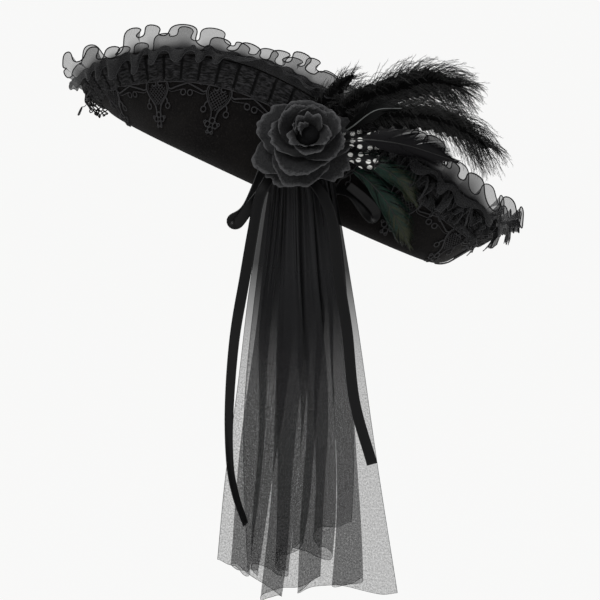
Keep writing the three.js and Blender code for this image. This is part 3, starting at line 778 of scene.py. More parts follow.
# The net between its sides: its top, foot and mesh, and half its width at each height
NET_TOP, NET_FOOT, NET_MESH = 8, 26, 3.9
NET_HEIGHTS, NET_WIDTHS = [8, 12, 15, 21, 26], [10.6, 10.2, 9, 5, 1.3]


def ring(centre, radius, end, count):
    turn = np.radians(np.linspace(0, end, count))
    return np.stack([centre[0] + radius * np.cos(turn), centre[1] + radius * np.sin(turn)], axis=1)


def net_lines():
    """The crossed threads between a motif's sides, cut where they leave it."""
    lines = []
    for k in range(-4, 7):
        low = NET_TOP + NET_MESH * k
        line = np.linspace((-9.5, low), (9.5, low + 19), 40)
        wide = np.interp(line[:, 1], NET_HEIGHTS, NET_WIDTHS)
        inside = line[(np.abs(line[:, 0]) < wide) & (line[:, 1] > NET_TOP - 2) & (line[:, 1] < NET_FOOT)]
        if len(inside) > 1:
            lines += [inside[[0, -1]], mirrored(inside[[0, -1]])]
    return lines


def motif_lines(half):
    """One motif, half a pitch to each side: its thick cords, its thin cords and its rings."""
    swag = [(-13, 8), (-17, 9.5), (-21.5, 8), (-half, 3)]
    hang = [(-13.2, 10), (-18, 12.2), (-half + 4.4, 9.3)]
    thick, thin = [], []
    for path in (MOTIF_SIDE, MOTIF_SCROLL, swag, MOTIF_STEM):
        thick += [smooth_path(path), mirrored(smooth_path(path))]
    for path in (MOTIF_INNER, hang):
        thin += [smooth_path(path), mirrored(smooth_path(path))]
    centres = MOTIF_RINGS + [(-half + 4, 12.4), (half - 4, 12.4)]
    rings = [ring(centre, 2.9, 330, 12) for centre in centres]
    beads = [ring(centre, 1.5, 315, 8) for centre in MOTIF_BEADS]
    return thick, thin + net_lines(), rings + beads


def lace_place(azimuth, drop, side=0.0):
    """A point of the lace, drop millimetres below its top. Where the flap is low it hangs free from nearer
    the edge, is gathered, and its side stands away from the brim."""
    share = np.clip((np.degrees(brim_at(azimuth)[1]) - 14) / 34, 0, 1)
    free = 1 - share * share * (3 - 2 * share)
    foot = TRIM_FROM_EDGE + TRIM_HEIGHT - 2 - 22 * free
    lift = np.full(np.shape(azimuth), LACE_LIFT)
    top = from_edge_point(azimuth, foot, lift)
    above = from_edge_point(azimuth, foot - 4, lift)
    on_felt = from_edge_point(azimuth, foot + drop, lift)
    inward = brim_frame(azimuth, brim_at(azimuth)[2] - foot)[3]
    down = np.array([0, -math.sin(TILT), -math.cos(TILT)])
    hang = unit(unit(top - above) * (1 - 0.15 * free)[..., None] + down * (0.15 * free)[..., None])
    hung = top + hang * (drop * (1 - 0.5 * free))[..., None] - inward * (0.5 * free * side)[..., None]
    blend = free[..., None]
    return tilt(on_felt * (1 - blend) + hung * blend)


def make_lace():
    azimuth, step = rim_azimuths(1)
    count = len(azimuth)
    pitch = count / LACE_MOTIFS
    thick, thin, rings = motif_lines(pitch * step / 2)

    def lay(lines):
        laid = []
        for number in range(LACE_MOTIFS):
            for line in lines:
                place = np.mod((number + 0.5) * pitch + line[:, 0] / step, count)
                turn = np.interp(place, np.arange(count + 1), np.append(azimuth, 360))
                aside = (line[:, 0] + 14) * np.clip(line[:, 1] / 14, 0, 1)
                laid.append(lace_place(turn, line[:, 1], aside))
        return laid

    loops = lay(rings)
    band = [lace_place(azimuth, np.full(count, drop)) for drop in (0.5, 2.2)]
    parts = [
        make_threads("lace_outline", lay(thick), 0.75, LACE, sides=4),
        make_threads("lace_net", lay(thin), 0.42, LACE, sides=3),
        make_threads("lace_rings", loops, 0.64, LACE, sides=4, closed=range(len(loops))),
        make_threads("lace_band", band, 0.7, LACE, closed=(0, 1)),
    ]
    keep(join("guipure_lace", parts), "lace", "lace_trim")


# The rose
ROSE_SEAT = (88, 49.3, 11.2)
ROSE_RAISE = math.radians(24)
ROSE_BACK = 16.5
ROSE_HEART = [
    (0, -23.5), (5, -22), (7, -16.5), (5, -12), (4, 2), (4.6, 10), (6, 16), (8.6, 22), (10.8, 28), (9.8, 34),
    (5, 38), (0, 39),
]
# Petals: angle about the heart (0 is towards the back of the hat, 90 is up), the foot's height, the cloth's
# length and width, how far it leans off the heart's axis at its foot, middle and lip, and how much its
# sides cup
PETALS = {
    "rose_outer": [
        (150, 3, 42, 60, 88, 74, 112, 3), (205, 2, 43, 52, 90, 80, 96, 2), (262, 3, 40, 66, 88, 76, 110, 4),
        (322, 2, 43, 58, 90, 78, 104, 3), (20, 3, 43, 56, 86, 72, 118, 3), (85, 3, 38, 58, 86, 70, 120, 4),
        (235, 0, 42, 44, 94, 86, 92, 2),
    ],
    "rose_middle": [
        (112, 10, 37, 56, 58, 36, 100, 6), (178, 10, 36, 54, 62, 44, 108, 5),
        (265, 9, 38, 74, 68, 54, 120, 5), (338, 10, 36, 52, 60, 44, 114, 5),
        (48, 11, 36, 54, 56, 38, 112, 6),
    ],
    "rose_inner": [
        (272, 15, 30, 46, 42, 22, 112, 4), (195, 17, 33, 36, 34, 14, 118, 3),
        (345, 17, 32, 36, 34, 14, 112, 3), (100, 18, 34, 42, 30, 10, 96, 4),
        (150, 22, 28, 28, 16, 4, 100, 2),
    ],
}
PETAL_NODES = {"rose_outer": "rose_petals_outer", "rose_middle": "rose_petals_middle",
               "rose_inner": "rose_petals_inner"}
PETAL_ACROSS, PETAL_ALONG = 54, 26
# Each petal's UV covers this much cloth
PETAL_UV_WIDTH, PETAL_UV_LENGTH = 50, 45


def rose_place(right, up, out):
    """A point in the rose's own directions, on the hat as it is worn. The heart leans down and back."""
    axis = np.array([math.cos(ROSE_RAISE), 0, math.sin(ROSE_RAISE)])
    rise = np.array([-math.sin(ROSE_RAISE), 0, math.cos(ROSE_RAISE)])
    side = np.array([0, 1.0, 0])
    centre = seat_point(*ROSE_SEAT) + axis * ROSE_BACK
    lean = np.clip(out, 0, None)
    right, up = right + 0.14 * lean, up - 0.12 * lean
    return centre + right[..., None] * side + up[..., None] * rise + out[..., None] * axis


def petal(row, seed):
    """One petal: its section, from foot to lip, is turned about the heart and then cupped and creased."""
    angle, foot, length, width, lean_foot, lean_middle, lean_lip, cup = row
    rng = np.random.default_rng(seed)
    s = np.linspace(-1, 1, PETAL_ACROSS)[:, None]
    t = np.linspace(0, 1, PETAL_ALONG)[None, :]
    ragged = ripple(rng, (0.9, 1.7, 2.9, 5.3), math.pi * s) * 0.018
    frayed = ripple(rng, (8, 13), math.pi * s) * 0.0045
    reach = t * (1 - 0.24 * np.abs(s) ** 2.4 + ragged * t + frayed * t ** 4)
    fine = np.linspace(0, 1.1, 120)
    leans = [lean_foot, lean_middle, lean_middle + 10, lean_lip, lean_lip + 40]
    lean = np.radians(np.interp(fine, [0, 0.5, 0.8, 1, 1.1], leans))
    radius = 4 + np.cumsum(np.sin(lean)) * length * (fine[1] - fine[0])
    height = foot + np.cumsum(np.cos(lean)) * length * (fine[1] - fine[0])
    r, z = np.interp(reach, fine, radius), np.interp(reach, fine, height)
    outline = np.interp(t, [0, 0.15, 0.4, 0.7, 0.9, 1], [0.2, 0.5, 0.86, 1, 0.97, 0.9])
    turn = math.radians(angle) + s * width / 2 * outline / np.maximum(r, 14)
    z = z + cup * s ** 2 * t - 2.6 * np.abs(s) ** 6 * t
    crease = ripple(rng, (4, 7, 12), s, 2 * t)
    pucker = ripple(rng, (1.3, 2.9, 4.7), 6 * t, 3 * s)
    z = z + (0.4 * crease + 0.3 * pucker) * t
    r = r + (0.5 * crease + 1.4 * ripple(rng, (3,), s)) * t ** 3
    return rose_place(r * np.cos(turn), r * np.sin(turn), z)


def make_rose():
    uv = grid_uv(np.linspace(0, PETAL_UV_WIDTH, PETAL_ACROSS)[:, None],
                 np.linspace(0, PETAL_UV_LENGTH, PETAL_ALONG)[None, :])
    for number, (name, rows) in enumerate(PETALS.items()):
        parts = []
        for k, row in enumerate(rows):
            parts.append(make_sheet(f"{name}_{k}", petal(row, 100 * number + k), ROSE, uv))
        petals = join(name, parts)
        thicken(petals, 0.5)
        keep(petals, "rose", PETAL_NODES[name])
    turn = np.linspace(0, TAU, 40, endpoint=False)[:, None]
    profile = smooth_path(ROSE_HEART, 4)[None]
    r, z = profile[..., 0], profile[..., 1]
    swirl = 1 + 0.05 * np.sin(turn * 2 + z * 0.18) * np.clip((z - 24) / 8, 0, 1)
    points = rose_place(r * swirl * np.cos(turn), r * swirl * np.sin(turn), z + 0 * turn)
    # The heart's material is painted shade: darker than the petals, as the shadow deep inside the rose.
    heart = make_sheet("rose_bud", points, SHADED_BUD, wrap=True)
    close_poles(heart)
    keep(heart, "rose", "rose_heart")


# Feathers

# Each feather's seat (azimuth, distance from the edge, lift) and its quill's path from there
FEATHERS = {
    "plume_back": (90, 27, 4.2, [(182.3, 27, 86), (190.6, 44, 106), (198, 58, 118)]),
    "plume_upper": (92.5, 28.8, 4.2, [(191.8, 51, 88), (206, 85, 102), (212, 122, 113), (212, 155, 108)]),
    "plume_lower": (92.5, 33.3, 5.2, [(195, 55, 78), (226, 99, 82), (234, 143, 76), (230, 178, 54)]),
    "hackle_feather": (92.5, 39.5, 4.9, [(199.2, 56.3, 71), (229, 77, 87), (240, 100, 89)]),
    "goose_feather": (92.5, 44, 4.9, [(192, 55, 59.9), (213, 100, 57), (223, 151, 41)]),
    "guinea_feather_upper": (92.5, 48.6, 5, [(191, 46, 57), (200, 62, 58), (218, 83, 62)]),
    "guinea_feather_lower": (92.5, 52.6, 5, [(189, 46, 45), (197, 62, 42), (209, 81, 39)]),
    "coque_feather_short": (92.5, 56.6, 5, [(191, 57, 43), (203, 82, 35), (208, 100, 23), (206, 116, 0)]),
    "coque_feather_long": (92.5, 60.7, 4.7, [(189, 57, 32), (197, 87, 5), (187, 111, -40)]),
}
# A flat feather's half width along its quill
LEAF = [1.3, 1.3, 1.5, 9, 13, 12.5, 9, 2]
SHORT_LEAF = [1.3, 1.3, 1.3, 4, 9, 10, 8, 2]
BARB_POINTS, STRAND_POINTS = 7, 12


def spine_of(name):
    azimuth, from_edge, lift, path = FEATHERS[name]
    return smooth_path([tuple(seat_point(azimuth, from_edge, lift))] + path, 40)


def quill(name, spine, material, thick, thin):
    places = np.linspace(0, 1, 40)
    point = along_line(spine, places)[0]
    girth = thick + (thin - thick) * places ** 0.7
    return make_threads(name, [point], 1.0, material, sides=7, girths=[girth])


def leaf_feather(name, node, half, size, material, quill_material, barbs, split, slot, seed, start=0.3,
                 bow=0, rough=1):
    """A flat feather: flat barbs side by side along both sides of a quill, with a few splits between them.
    Its middle bows outwards by bow, and rough scales how uneven its barbs are."""
    rng = np.random.default_rng(seed)
    spine = spine_of(node)
    spine = spine + np.sin(math.pi * np.linspace(0, 1, len(spine)) ** 0.8)[:, None] * OUTWARD * bow
    points, faces, uvs = [], [], []
    count = 0
    shares = np.linspace(0, 1, len(half))
    steps = np.linspace(0, 1, BARB_POINTS)
    for side in (-1, 1):
        gap = 0.0
        for k in range(barbs):
            v = start + (1 - start) * (k / (barbs - 1)) ** 0.95
            root, tangent, length = along_line(spine, v)
            across, facing = across_and_facing(tangent)
            if rng.random() < split:
                gap = rng.normal(0, 0.11)
            gap *= 0.86
            angle = 0.75 - 0.28 * v + gap + rng.normal(0, 0.012) * rough
            reach = np.interp(min(v + 0.06, 1), shares, half) * size / max(math.sin(angle), 0.3)
            reach *= 1 + rng.normal(0, 0.035) * rough
            turned = angle - 0.21 * steps ** 1.5
            run = steps * reach
            sink = 0.16 * run * steps + 0.25 * rough * rng.normal() * steps
            ahead, out = run * np.cos(turned), side * run * np.sin(turned)
            middle = root + tangent * ahead[:, None] + across * out[:, None] - facing * sink[:, None]
            broad = (1 - start) * length / barbs * 0.75 * (1 - 0.55 * steps ** 3)
            edge = tangent * broad[:, None]
            points += [middle - edge, middle + edge]
            for i in range(BARB_POINTS - 1):
                other = count + BARB_POINTS + i
                faces.append((count + i, count + i + 1, other + 1, other))
                uvs += [(steps[i], v), (steps[i + 1], v), (steps[i + 1], v), (steps[i], v)]
            count += 2 * BARB_POINTS
    vane = make_object(name, np.concatenate(points), faces, material=material)
    layer = vane.data.uv_layers.new(name="vane")
    layer.data.foreach_set("uv", np.array(uvs).reshape(-1))
    keep(vane, slot, node)
    keep(quill(name + "_quill", spine, quill_material, 1.1, 0.25), slot)


def plume_core(name, spine, size):
    """The dense middle of a plume: a lumpy leaf that the loose barbs cover, painted darker than them as the
    shade inside the plume.
    """
    share = np.linspace(0.2, 1, 60)
    point, tangent, _ = along_line(spine, share)
    across, facing = across_and_facing(tangent)
    half = size * np.interp(share, [0.2, 0.4, 0.8, 1], [0.15, 0.32, 0.3, 0.06])
    half = half * (1 + 0.12 * np.sin(share * 90) + 0.08 * np.sin(share * 171))
    turn = np.linspace(0, TAU, 16, endpoint=False)[:, None]
    reach = half * np.cos(turn)
    puff = (1 + 0.1 * half) * np.sin(turn)
    points = point + across * reach[..., None] + facing * puff[..., None]
    points[..., 2] -= 0.006 * reach ** 2
    return make_sheet(name, points, PLUME_SHADE, wrap=True)


def ostrich_plume(name, node, size, barbs, seed, droop, under=1.0):
    """A plume: long loose barbs on a quill, each feathered with barbules of its own. under is the length of
    the barbs below the quill's first half, as a share of the others."""
    rng = np.random.default_rng(seed)
    spine = spine_of(node)
    runs, girths = [], []
    steps = np.linspace(0, 1, STRAND_POINTS)
    stride = np.concatenate([[0], np.diff(steps)])
    for _ in range(barbs):
        v = 0.22 + 0.78 * rng.random()
        side = rng.choice([-1, 1])
        root, tangent, _ = along_line(spine, v)
        across, facing = across_and_facing(tangent)
        reach = size * np.interp(v, [0.22, 0.5, 0.8, 1], [0.7, 1.1, 1, 0.6]) * rng.uniform(0.55, 1.15)
        if side > 0:
            reach *= np.interp(v, [0.55, 0.8], [under, 1])
        angle = np.radians(np.interp(v, [0.22, 0.8, 1], [64, 52, 28]) + rng.normal(0, 10))
        bend = angle * (1 - 0.75 * steps) + rng.normal(0, 0.3) * steps ** 2
        out = np.cumsum(stride * np.sin(bend)) * reach
        ahead = np.cumsum(stride * np.cos(bend)) * reach
        lift = rng.normal(0.05, 0.25) * steps * reach + 2.5 * np.sin(steps * math.pi)
        fall = droop * reach * steps ** 3 * rng.uniform(0.3, 1.4)
        run = root + tangent * ahead[:, None] + across * (side * out)[:, None] + facing * lift[:, None]
        runs.append(run - np.array([0, 0, 1]) * fall[:, None])
        girths.append(1 - 0.7 * steps)
    strands = make_threads(name + "_strands", runs, 0.3, PLUME, sides=3, girths=girths)
    first = STRAND_POINTS * np.arange(barbs)[:, None] + np.arange(STRAND_POINTS - 1)
    edges = np.stack([first.ravel(), first.ravel() + 1], axis=1).tolist()
    hairs = make_object(name + "_hairs", np.concatenate(runs), edges=edges)
    grow(hairs, BARBULE, Spacing=1.05 * MM, Length=3.3 * MM, Breadth=0.17 * MM, Lean=0.5, Seed=seed,
         Material=PLUME.data)
    shaft = quill(name + "_quill", spine, PLUME, 1.1, 0.2)
    keep(join(name, [plume_core(name + "_core", spine, size), strands, hairs, shaft]), "plume", node)


def make_feathers():
    ostrich_plume("ostrich_back", "plume_back", 21, barbs=130, seed=61, droop=0.1)
    ostrich_plume("ostrich_upper", "plume_upper", 37, barbs=820, seed=62, droop=0.3)
    ostrich_plume("ostrich_lower", "plume_lower", 34, barbs=860, seed=63, droop=0.4, under=0.3)
    leaf_feather("hackle", "hackle_feather", LEAF, 1.05, HACKLE, QUILL, barbs=130, split=0.04, slot="hackle",
                 seed=71, bow=5, rough=0.3)
    leaf_feather("goose", "goose_feather", LEAF, 1.55, GOOSE, PLUME, barbs=200, split=0.03, slot="goose",
                 seed=72, start=0.42, bow=27, rough=0.15)
    for place, seed, bow in (("upper", 73, 16), ("lower", 74, 14)):
        leaf_feather("guinea_" + place, "guinea_feather_" + place, SHORT_LEAF, 1.2, GUINEA, PLUME, barbs=90,
                     split=0.03, slot="guinea", seed=seed, bow=bow)
    leaf_feather("coque_short", "coque_feather_short", LEAF, 1.15, COQUE, PLUME, barbs=150, split=0.14,
                 slot="coque", seed=75, bow=6)
    leaf_feather("coque_long", "coque_feather_long", LEAF, 1.35, COQUE, PLUME, barbs=170, split=0.16,
                 slot="coque", seed=76, bow=4)


# Satin ribbons

# Each ribbon's seat (azimuth, distance from the edge, lift), its seen width along its length, and its path
RIBBONS = {
    "ribbon_tail_left": (80.5, 62.9, 6.2, [9, 10, 10, 10, 9, 8, 6, 5], [
        (186, -15, 30), (193, -27, 8), (196, -34, -26), (197, -41, -66), (198, -51, -125), (198, -56, -190),
        (197, -55.5, -240), (196, -50, -272), (194, -41, -299)]),
    "ribbon_tail_right": (84.4, 62, 5.6, [10, 10, 10, 10], [
        (185, 16, 27), (192, 31, 7), (195, 40, -20), (196, 45, -66), (198, 53, -117), (198, 60, -182),
        (199, 76.5, -241)]),
    "ribbon_loop_left": (78, 65.4, 6.4, [10, 10], [
        (180, -38, -2), (182, -53, -15), (186, -48, -18), (187, -36, -2), (185, -26, 10)]),
    "ribbon_loop_right": (101.2, 62.8, 5.5, [8, 9, 9, 9, 8], [
        (185, 57, 9), (186.5, 70, -8), (188.5, 76, -13), (190, 79, -7), (190.5, 71, 3), (190, 54, 17)]),
}
SATIN_WIDTH, SATIN_WALL = 10, 0.3


def make_ribbon(name, node):
    """A flat ribbon along its path. Where it is seen narrower than it is, it turns about its middle."""
    azimuth, from_edge, lift, widths, path = RIBBONS[node]
    line = smooth_path([tuple(seat_point(azimuth, from_edge, lift))] + path, 30)
    places = np.linspace(0, 1, 120)
    point, tangent, length = along_line(line, places)
    across, facing = across_and_facing(tangent)
    seen = np.interp(places, np.linspace(0, 1, len(widths)), widths)
    turned = np.arccos(np.clip(seen / SATIN_WIDTH, 0.3, 1))
    side = across * np.cos(turned)[:, None] + facing * np.sin(turned)[:, None]
    steps = np.linspace(-0.5, 0.5, 9)[None, :]
    curl = 0.35 * np.cos(steps * math.pi) + 0.25 * np.sin(places * 23)[:, None] * steps
    points = point[:, None] + side[:, None] * (steps * SATIN_WIDTH)[..., None]
    points = points + np.cross(tangent, side)[:, None] * curl[..., None]
    ribbon = make_sheet(name, points, SATIN, grid_uv(places[:, None] * length, steps * SATIN_WIDTH))
    thicken(ribbon, SATIN_WALL)
    keep(ribbon, "satin", node)


# The veil
VEIL_SWING, VEIL_ROWS = 0.13, 66
# The two sheets of tulle. seat: the height and distance out of the gathered top. folds: each fold's edge,
# across at the seat, half-way down and at the hem, the hem's height, and how far the fold stands out.
VEIL_SHEETS = {
    "tulle_outer": dict(seat=(22, 177), hem_out=184, sway=2.5, seed=81, folds=[
        (-22, -48, -68, -335, 0), (-6, -20, -38, -348, 4), (-15, -37, -55, -340, -4), (6, 8, -8, -366, 5),
        (-5, -12, -27, -372, -4), (18, 32, 28, -350, 6), (8, 14, 8, -366, -5), (33, 58, 68, -352, 5),
        (24, 42, 40, -362, -4), (40, 71, 101, -366, 0)]),
    "tulle_inner": dict(seat=(27, 171), hem_out=168, sway=3.5, seed=82, folds=[
        (-17, -40, -40, -347, 0), (0, -4, -30, -350, 5), (-11, -28, -36, -346, -4), (12, 14, -2, -351, 5),
        (2, -8, -14, -344, -5), (20, 30, 12, -322, 4), (8, 10, 2, -330, -5), (29, 44, 40, -334, 5),
        (17, 26, 22, -316, -5), (37, 57, 58, -300, 0)]),
}
VEIL_NODES = {"tulle_outer": "veil_outer", "tulle_inner": "veil_inner"}


def veil_surface(seat, hem_out, sway, seed, folds):
    """The sheet's points: smooth between its folds' edges, with fine pleats at the top and a wavy hem."""
    rng = np.random.default_rng(seed)
    v = np.linspace(0, 1, VEIL_ROWS)
    table = np.array(folds, float)
    start, middle, end, hem, out = (table[:, k][:, None] for k in range(5))
    across = start * (1 - v) * (1 - 2 * v) + 4 * middle * v * (1 - v) + end * v * (2 * v - 1)
    free = np.ones((len(folds), 1))
    free[[0, -1]] = 0.4
    turn, beat = rng.uniform(0, TAU, free.shape), rng.uniform(0.7, 1.6, free.shape)
    across = across + sway * free * np.sin(math.pi * v) * np.sin(TAU * beat * v + turn)
    down = seat[0] + (hem - seat[0]) * v
    deep = out * (0.5 + 0.9 * v)
    edges = np.stack([deep, across, down], axis=-1)
    points = smooth_path(edges.reshape(len(folds), -1), 34)
    points = points.reshape(len(points), len(v), 3)
    u = np.linspace(0, 1, len(points))[:, None]
    pleat = (1 - v[None, :]) ** 1.6
    waver = bumps(u, seed + 5, (3, 7, 11, 16), 1.0)
    points[..., 0] += 2.2 * pleat * np.sin(TAU * 31 * u + 2 * waver) + 0.8 * np.sin(TAU * 12 * u + 5 * v)
    points[..., 1] += 0.9 * pleat * np.cos(TAU * 31 * u + 2 * waver)
    points[..., 0] += 1.2 * np.sin(TAU * (3 * v + u * 2)) * v
    base = seat[1] + (hem_out - seat[1]) * v
    points[..., 0] += base + VEIL_SWING * (1 - 0.8 * v) * (points[..., 1] - folds[0][0])
    points[..., 2] += 2.5 * np.sin(TAU * 9 * u + waver) * v ** 6
    return points


def make_veil(name, seat, folds, **shape):
    points = veil_surface(seat, folds=folds, **shape)
    width = np.concatenate([[0], np.cumsum(np.linalg.norm(np.diff(points[:, -1], axis=0), axis=1))])
    cloth, length = float(width[-1]), float(seat[0] - min(fold[3] for fold in folds))
    uv = grid_uv(width[:, None], np.linspace(0, 1, VEIL_ROWS)[None, :] * length)
    sheet = make_sheet(name, points, TULLE, uv)
    keep(sheet, "veil", VEIL_NODES[name])
    edge = make_threads(name + "_edge", [points[0], points[:, -1], points[-1]], 0.22, CORD, sides=4)
    keep(edge, "veil")


# Finishes
def felt_finish():
    felt = Material("felt_wool", colour=(0.012, 0.011, 0.0115), roughness=0.95, Sheen_Weight=0.05,
                    Sheen_Roughness=0.5, Specular_IOR_Level=0.03)
    fibre = felt.effect(FIBRE, Scale=850.0)
    cloud = felt.noise(scale=16, detail=4)
    fleck = felt.math("MULTIPLY", fibre.outputs["Fleck"], 0.6)
    tone = felt.math("ADD", fleck, felt.math("MULTIPLY", cloud, 0.5))
    colours = [(0.0018, 0.0016, 0.0017), (0.022, 0.0195, 0.018)]
    felt.link(felt.ramp(tone, (0.15, 0.95), colours), "Base Color")
    felt.bump(fibre.outputs["Height"], 0.8, 0.0007)
    return felt


def sheer_finish(name, colour, cover, threads, gathered, speck, grain=0.0):
    """Organza and tulle: the weave's holes let the light through. gathered holds two distances from the
    gathered edge: up to the first the cloth is dense, and from the second it is open."""
    cloth = Material(name, colour=colour, roughness=0.6, Sheen_Weight=0.06, Specular_IOR_Level=0.2)
    weave = cloth.effect(WEAVE, Threads_per_Metre=threads, Gap=0.5)
    spread = cloth.math("MULTIPLY_ADD", weave.outputs["Cover"], speck, cover - speck * 0.45)
    if grain:
        clump = cloth.noise(scale=560, detail=2, kind="UV", rough=0.7)
        uneven = cloth.math("MULTIPLY", cloth.math("SUBTRACT", clump, 0.5), grain)
        spread = cloth.math("ADD", spread, uneven)
    dense = cloth.fade(cloth.across_and_down()["Y"], *gathered, 0.95, 0.0)
    cloth.link(cloth.math("MAXIMUM", spread, dense), "Alpha")
    cloth.bump(weave.outputs["Height"], 0.3, 0.0002)
    return cloth


def cloth_finish(name, dark, light, scale, roughness, sheen=0.03, bump=0.5, gloss=0.08):
    """Cord, satin, lace or a feather's barbs: a fine tangled grain between two colours."""
    cloth = Material(name, colour=dark, roughness=roughness, Sheen_Weight=sheen, Specular_IOR_Level=gloss)
    fibre = cloth.effect(FIBRE, Scale=float(scale)).outputs["Height"]
    cloth.link(cloth.ramp(fibre, (0.35, 0.7), [dark, light]), "Base Color")
    cloth.bump(fibre, bump, 0.0004)
    return cloth


def braid_finish():
    """Ruched braid: fine wrinkles that run along it, painted lighter on their ridges as highlights and
    darker in their hollows as shade, and painted shade where each two pleats meet.
    """
    azimuth, step = rim_azimuths(TRIM_STEP)
    pitch = len(azimuth) * step * MM / TRIM_PLEATS
    braid = Material("braid_rib", colour=(0.006, 0.006, 0.0065), roughness=0.8, Sheen_Weight=0.02,
                     Specular_IOR_Level=0.12)
    wrinkle = braid.noise(scale=150, detail=4, kind="UV", stretch=(1, 3.6, 1), rough=0.62)
    from_slit = braid.math("PINGPONG", braid.across_and_down()["X"], pitch / 2)
    # Painted shade: the braid turns darker where each two pleats meet.
    pleat_gap_shade = braid.fade(from_slit, 0.0006, 0.0019, 0.0, 1.0)
    # Painted light: the wrinkles' ridges are painted lighter as highlights and their hollows darker as
    # shade.
    tone = braid.math("MULTIPLY", wrinkle, pleat_gap_shade)
    colours = [(0.0006, 0.0006, 0.0007), (0.027, 0.0265, 0.028)]
    braid.link(braid.ramp(tone, (0.42, 0.64), colours), "Base Color")
    braid.bump(wrinkle, 1.0, 0.0014)
    return braid


def rose_finish():
    """Charcoal cloth, with a painted highlight that makes the petals' lips lighter."""
    cloth = Material("rose_cloth", colour=(0.02, 0.02, 0.022), roughness=0.8, Sheen_Weight=0.04,
                     Specular_IOR_Level=0.16)
    fibre = cloth.effect(FIBRE, Scale=420.0).outputs["Height"]
    # Painted highlight, not wear: the colour turns lighter towards each petal's lip, with a ragged border
    # from the fibre.
    worn = cloth.math("ADD", cloth.across_and_down()["Y"], cloth.math("MULTIPLY", fibre, 0.006))
    lip = cloth.fade(worn, 0.0435, 0.0482, 0.0, 0.55)
    tone = cloth.math("ADD", cloth.math("MULTIPLY", fibre, 0.5), lip)
    cloth.link(cloth.ramp(tone, (0.15, 0.9), [(0.005, 0.005, 0.0055), (0.07, 0.07, 0.072)]), "Base Color")
    cloth.bump(fibre, 0.35, 0.0003)
    return cloth


def coque_finish():
    """Green at the middle and olive towards the tip, with fine streaks along the barbs."""
    vane = Material("coque_barb", colour=(0.01, 0.05, 0.035), roughness=0.38, Specular_IOR_Level=0.16)
    cloud = vane.noise(scale=60, detail=3)
    streak = vane.noise(scale=4, detail=2, kind="UV", stretch=(0.4, 13, 1), rough=0.6)
    tone = vane.math("ADD", vane.across_and_down()["Y"], vane.math("MULTIPLY", cloud, 0.5))
    contrast = vane.math("MULTIPLY", vane.math("SUBTRACT", streak, 0.5), 1.9)
    tone = vane.math("ADD", tone, contrast)
    black, green = (0.001, 0.0018, 0.0016), (0.0045, 0.021, 0.0135)
    deep_green, olive = (0.0012, 0.0034, 0.0028), (0.017, 0.02, 0.009)
    colours = vane.ramp(tone, (0.5, 0.82, 1.02, 1.2), [black, green, deep_green, olive])
    vane.link(colours, "Base Color")
    vane.bump(streak, 0.5, 0.0004)
    return vane


def guinea_finish():
    """Black with rows of round white spots, drawn from the wearer's left."""
    vane = Material("guinea_barb", colour=(0.01, 0.01, 0.012), roughness=0.6, Specular_IOR_Level=0.2)
    place = vane.add("ShaderNodeSeparateXYZ", Vector=vane.coordinates("Object", (1, 1, 1.2)))
    flat = vane.add("ShaderNodeCombineXYZ", X=place.outputs["Y"], Y=place.outputs["Z"])
    dots = vane.add("ShaderNodeTexVoronoi", {"feature": "F1", "voronoi_dimensions": "2D"},
                    Vector=flat.outputs[0], Scale=128.0, Randomness=0.35)
    spot = vane.ramp(dots.outputs["Distance"], (0.27, 0.33), [(0.85, 0.85, 0.82), (0.003, 0.003, 0.0035)])
    vane.link(spot, "Base Color")
    return vane


# Trees and effects that the pieces share
THREAD = thread_tree()
BARBULE = barbule_tree()
FUZZ = fuzz_tree()
WEAVE = weave_group()
FIBRE = fibre_group()

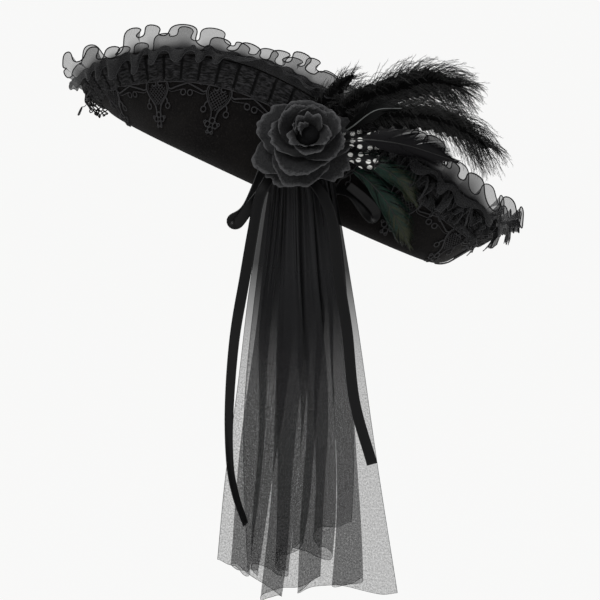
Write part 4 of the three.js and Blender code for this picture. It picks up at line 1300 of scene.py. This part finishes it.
FELT = felt_finish()
ORGANZA = sheer_finish("organza_sheer", (0.01, 0.0098, 0.011), 0.5, 900.0, gathered=(0.003, 0.026),
                       speck=0.2)
CORD = cloth_finish("corded_edge", (0.001, 0.001, 0.0011), (0.004, 0.004, 0.0045), 2500, 0.6)
DARK = sheer_finish("organza_dark", (0.006, 0.006, 0.0066), 0.84, 900.0, gathered=(-0.001, 0.02), speck=0.15)
DARK_CORD = cloth_finish("dark_corded_edge", (0.005, 0.005, 0.0056), (0.016, 0.016, 0.018), 2500, 0.5,
                         gloss=0.25)
BRAID = braid_finish()
LACE = cloth_finish("lace_thread", (0.012, 0.0118, 0.0125), (0.036, 0.035, 0.037), 2200, 0.65, gloss=0.15)
PLUME = cloth_finish("plume_barb", (0.0012, 0.0013, 0.0012), (0.006, 0.0062, 0.0058), 600, 0.42, gloss=0.35)
# Painted shade: the plume's dense middle is painted darker than its barbs, as the shade inside the plume.
PLUME_SHADE = cloth_finish("plume_deep", (0.001, 0.001, 0.001), (0.003, 0.003, 0.003), 600, 0.9, gloss=0.03)
SATIN = cloth_finish("satin_ribbon", (0.0012, 0.0012, 0.0013), (0.0022, 0.0022, 0.0025), 900, 0.34, bump=0.1,
                     gloss=0.16)
TULLE = sheer_finish("tulle_net", (0.005, 0.005, 0.0058), 0.45, 950.0, gathered=(0.085, 0.26), speck=0.25,
                     grain=1.0)
HACKLE = cloth_finish("hackle_barb", (0.0006, 0.0007, 0.0007), (0.0016, 0.0018, 0.0018), 300, 0.5, sheen=0,
                      gloss=0.12)
GOOSE = cloth_finish("goose_barb", (0.0006, 0.0004, 0.0009), (0.0014, 0.001, 0.002), 300, 0.5, sheen=0,
                     gloss=0.12)
QUILL = cloth_finish("quill_shaft", (0.09, 0.095, 0.095), (0.14, 0.15, 0.14), 500, 0.45, gloss=0.3)
# Painted shade: the rose's heart is painted much darker than the petals, as the shadow deep inside the rose.
SHADED_BUD = cloth_finish("rose_deep", (0.002, 0.002, 0.0022), (0.006, 0.006, 0.0066), 420, 0.85)
ROSE = rose_finish()
COQUE = coque_finish()
GUINEA = guinea_finish()

make_camera()
make_studio()
felt_body()
make_ruffles()
make_trim()
make_lace()
make_rose()
make_feathers()
for ribbon_node in RIBBONS:
    make_ribbon(ribbon_node.replace("ribbon", "satin"), ribbon_node)
for sheet_name, sheet_row in VEIL_SHEETS.items():
    make_veil(sheet_name, **sheet_row)
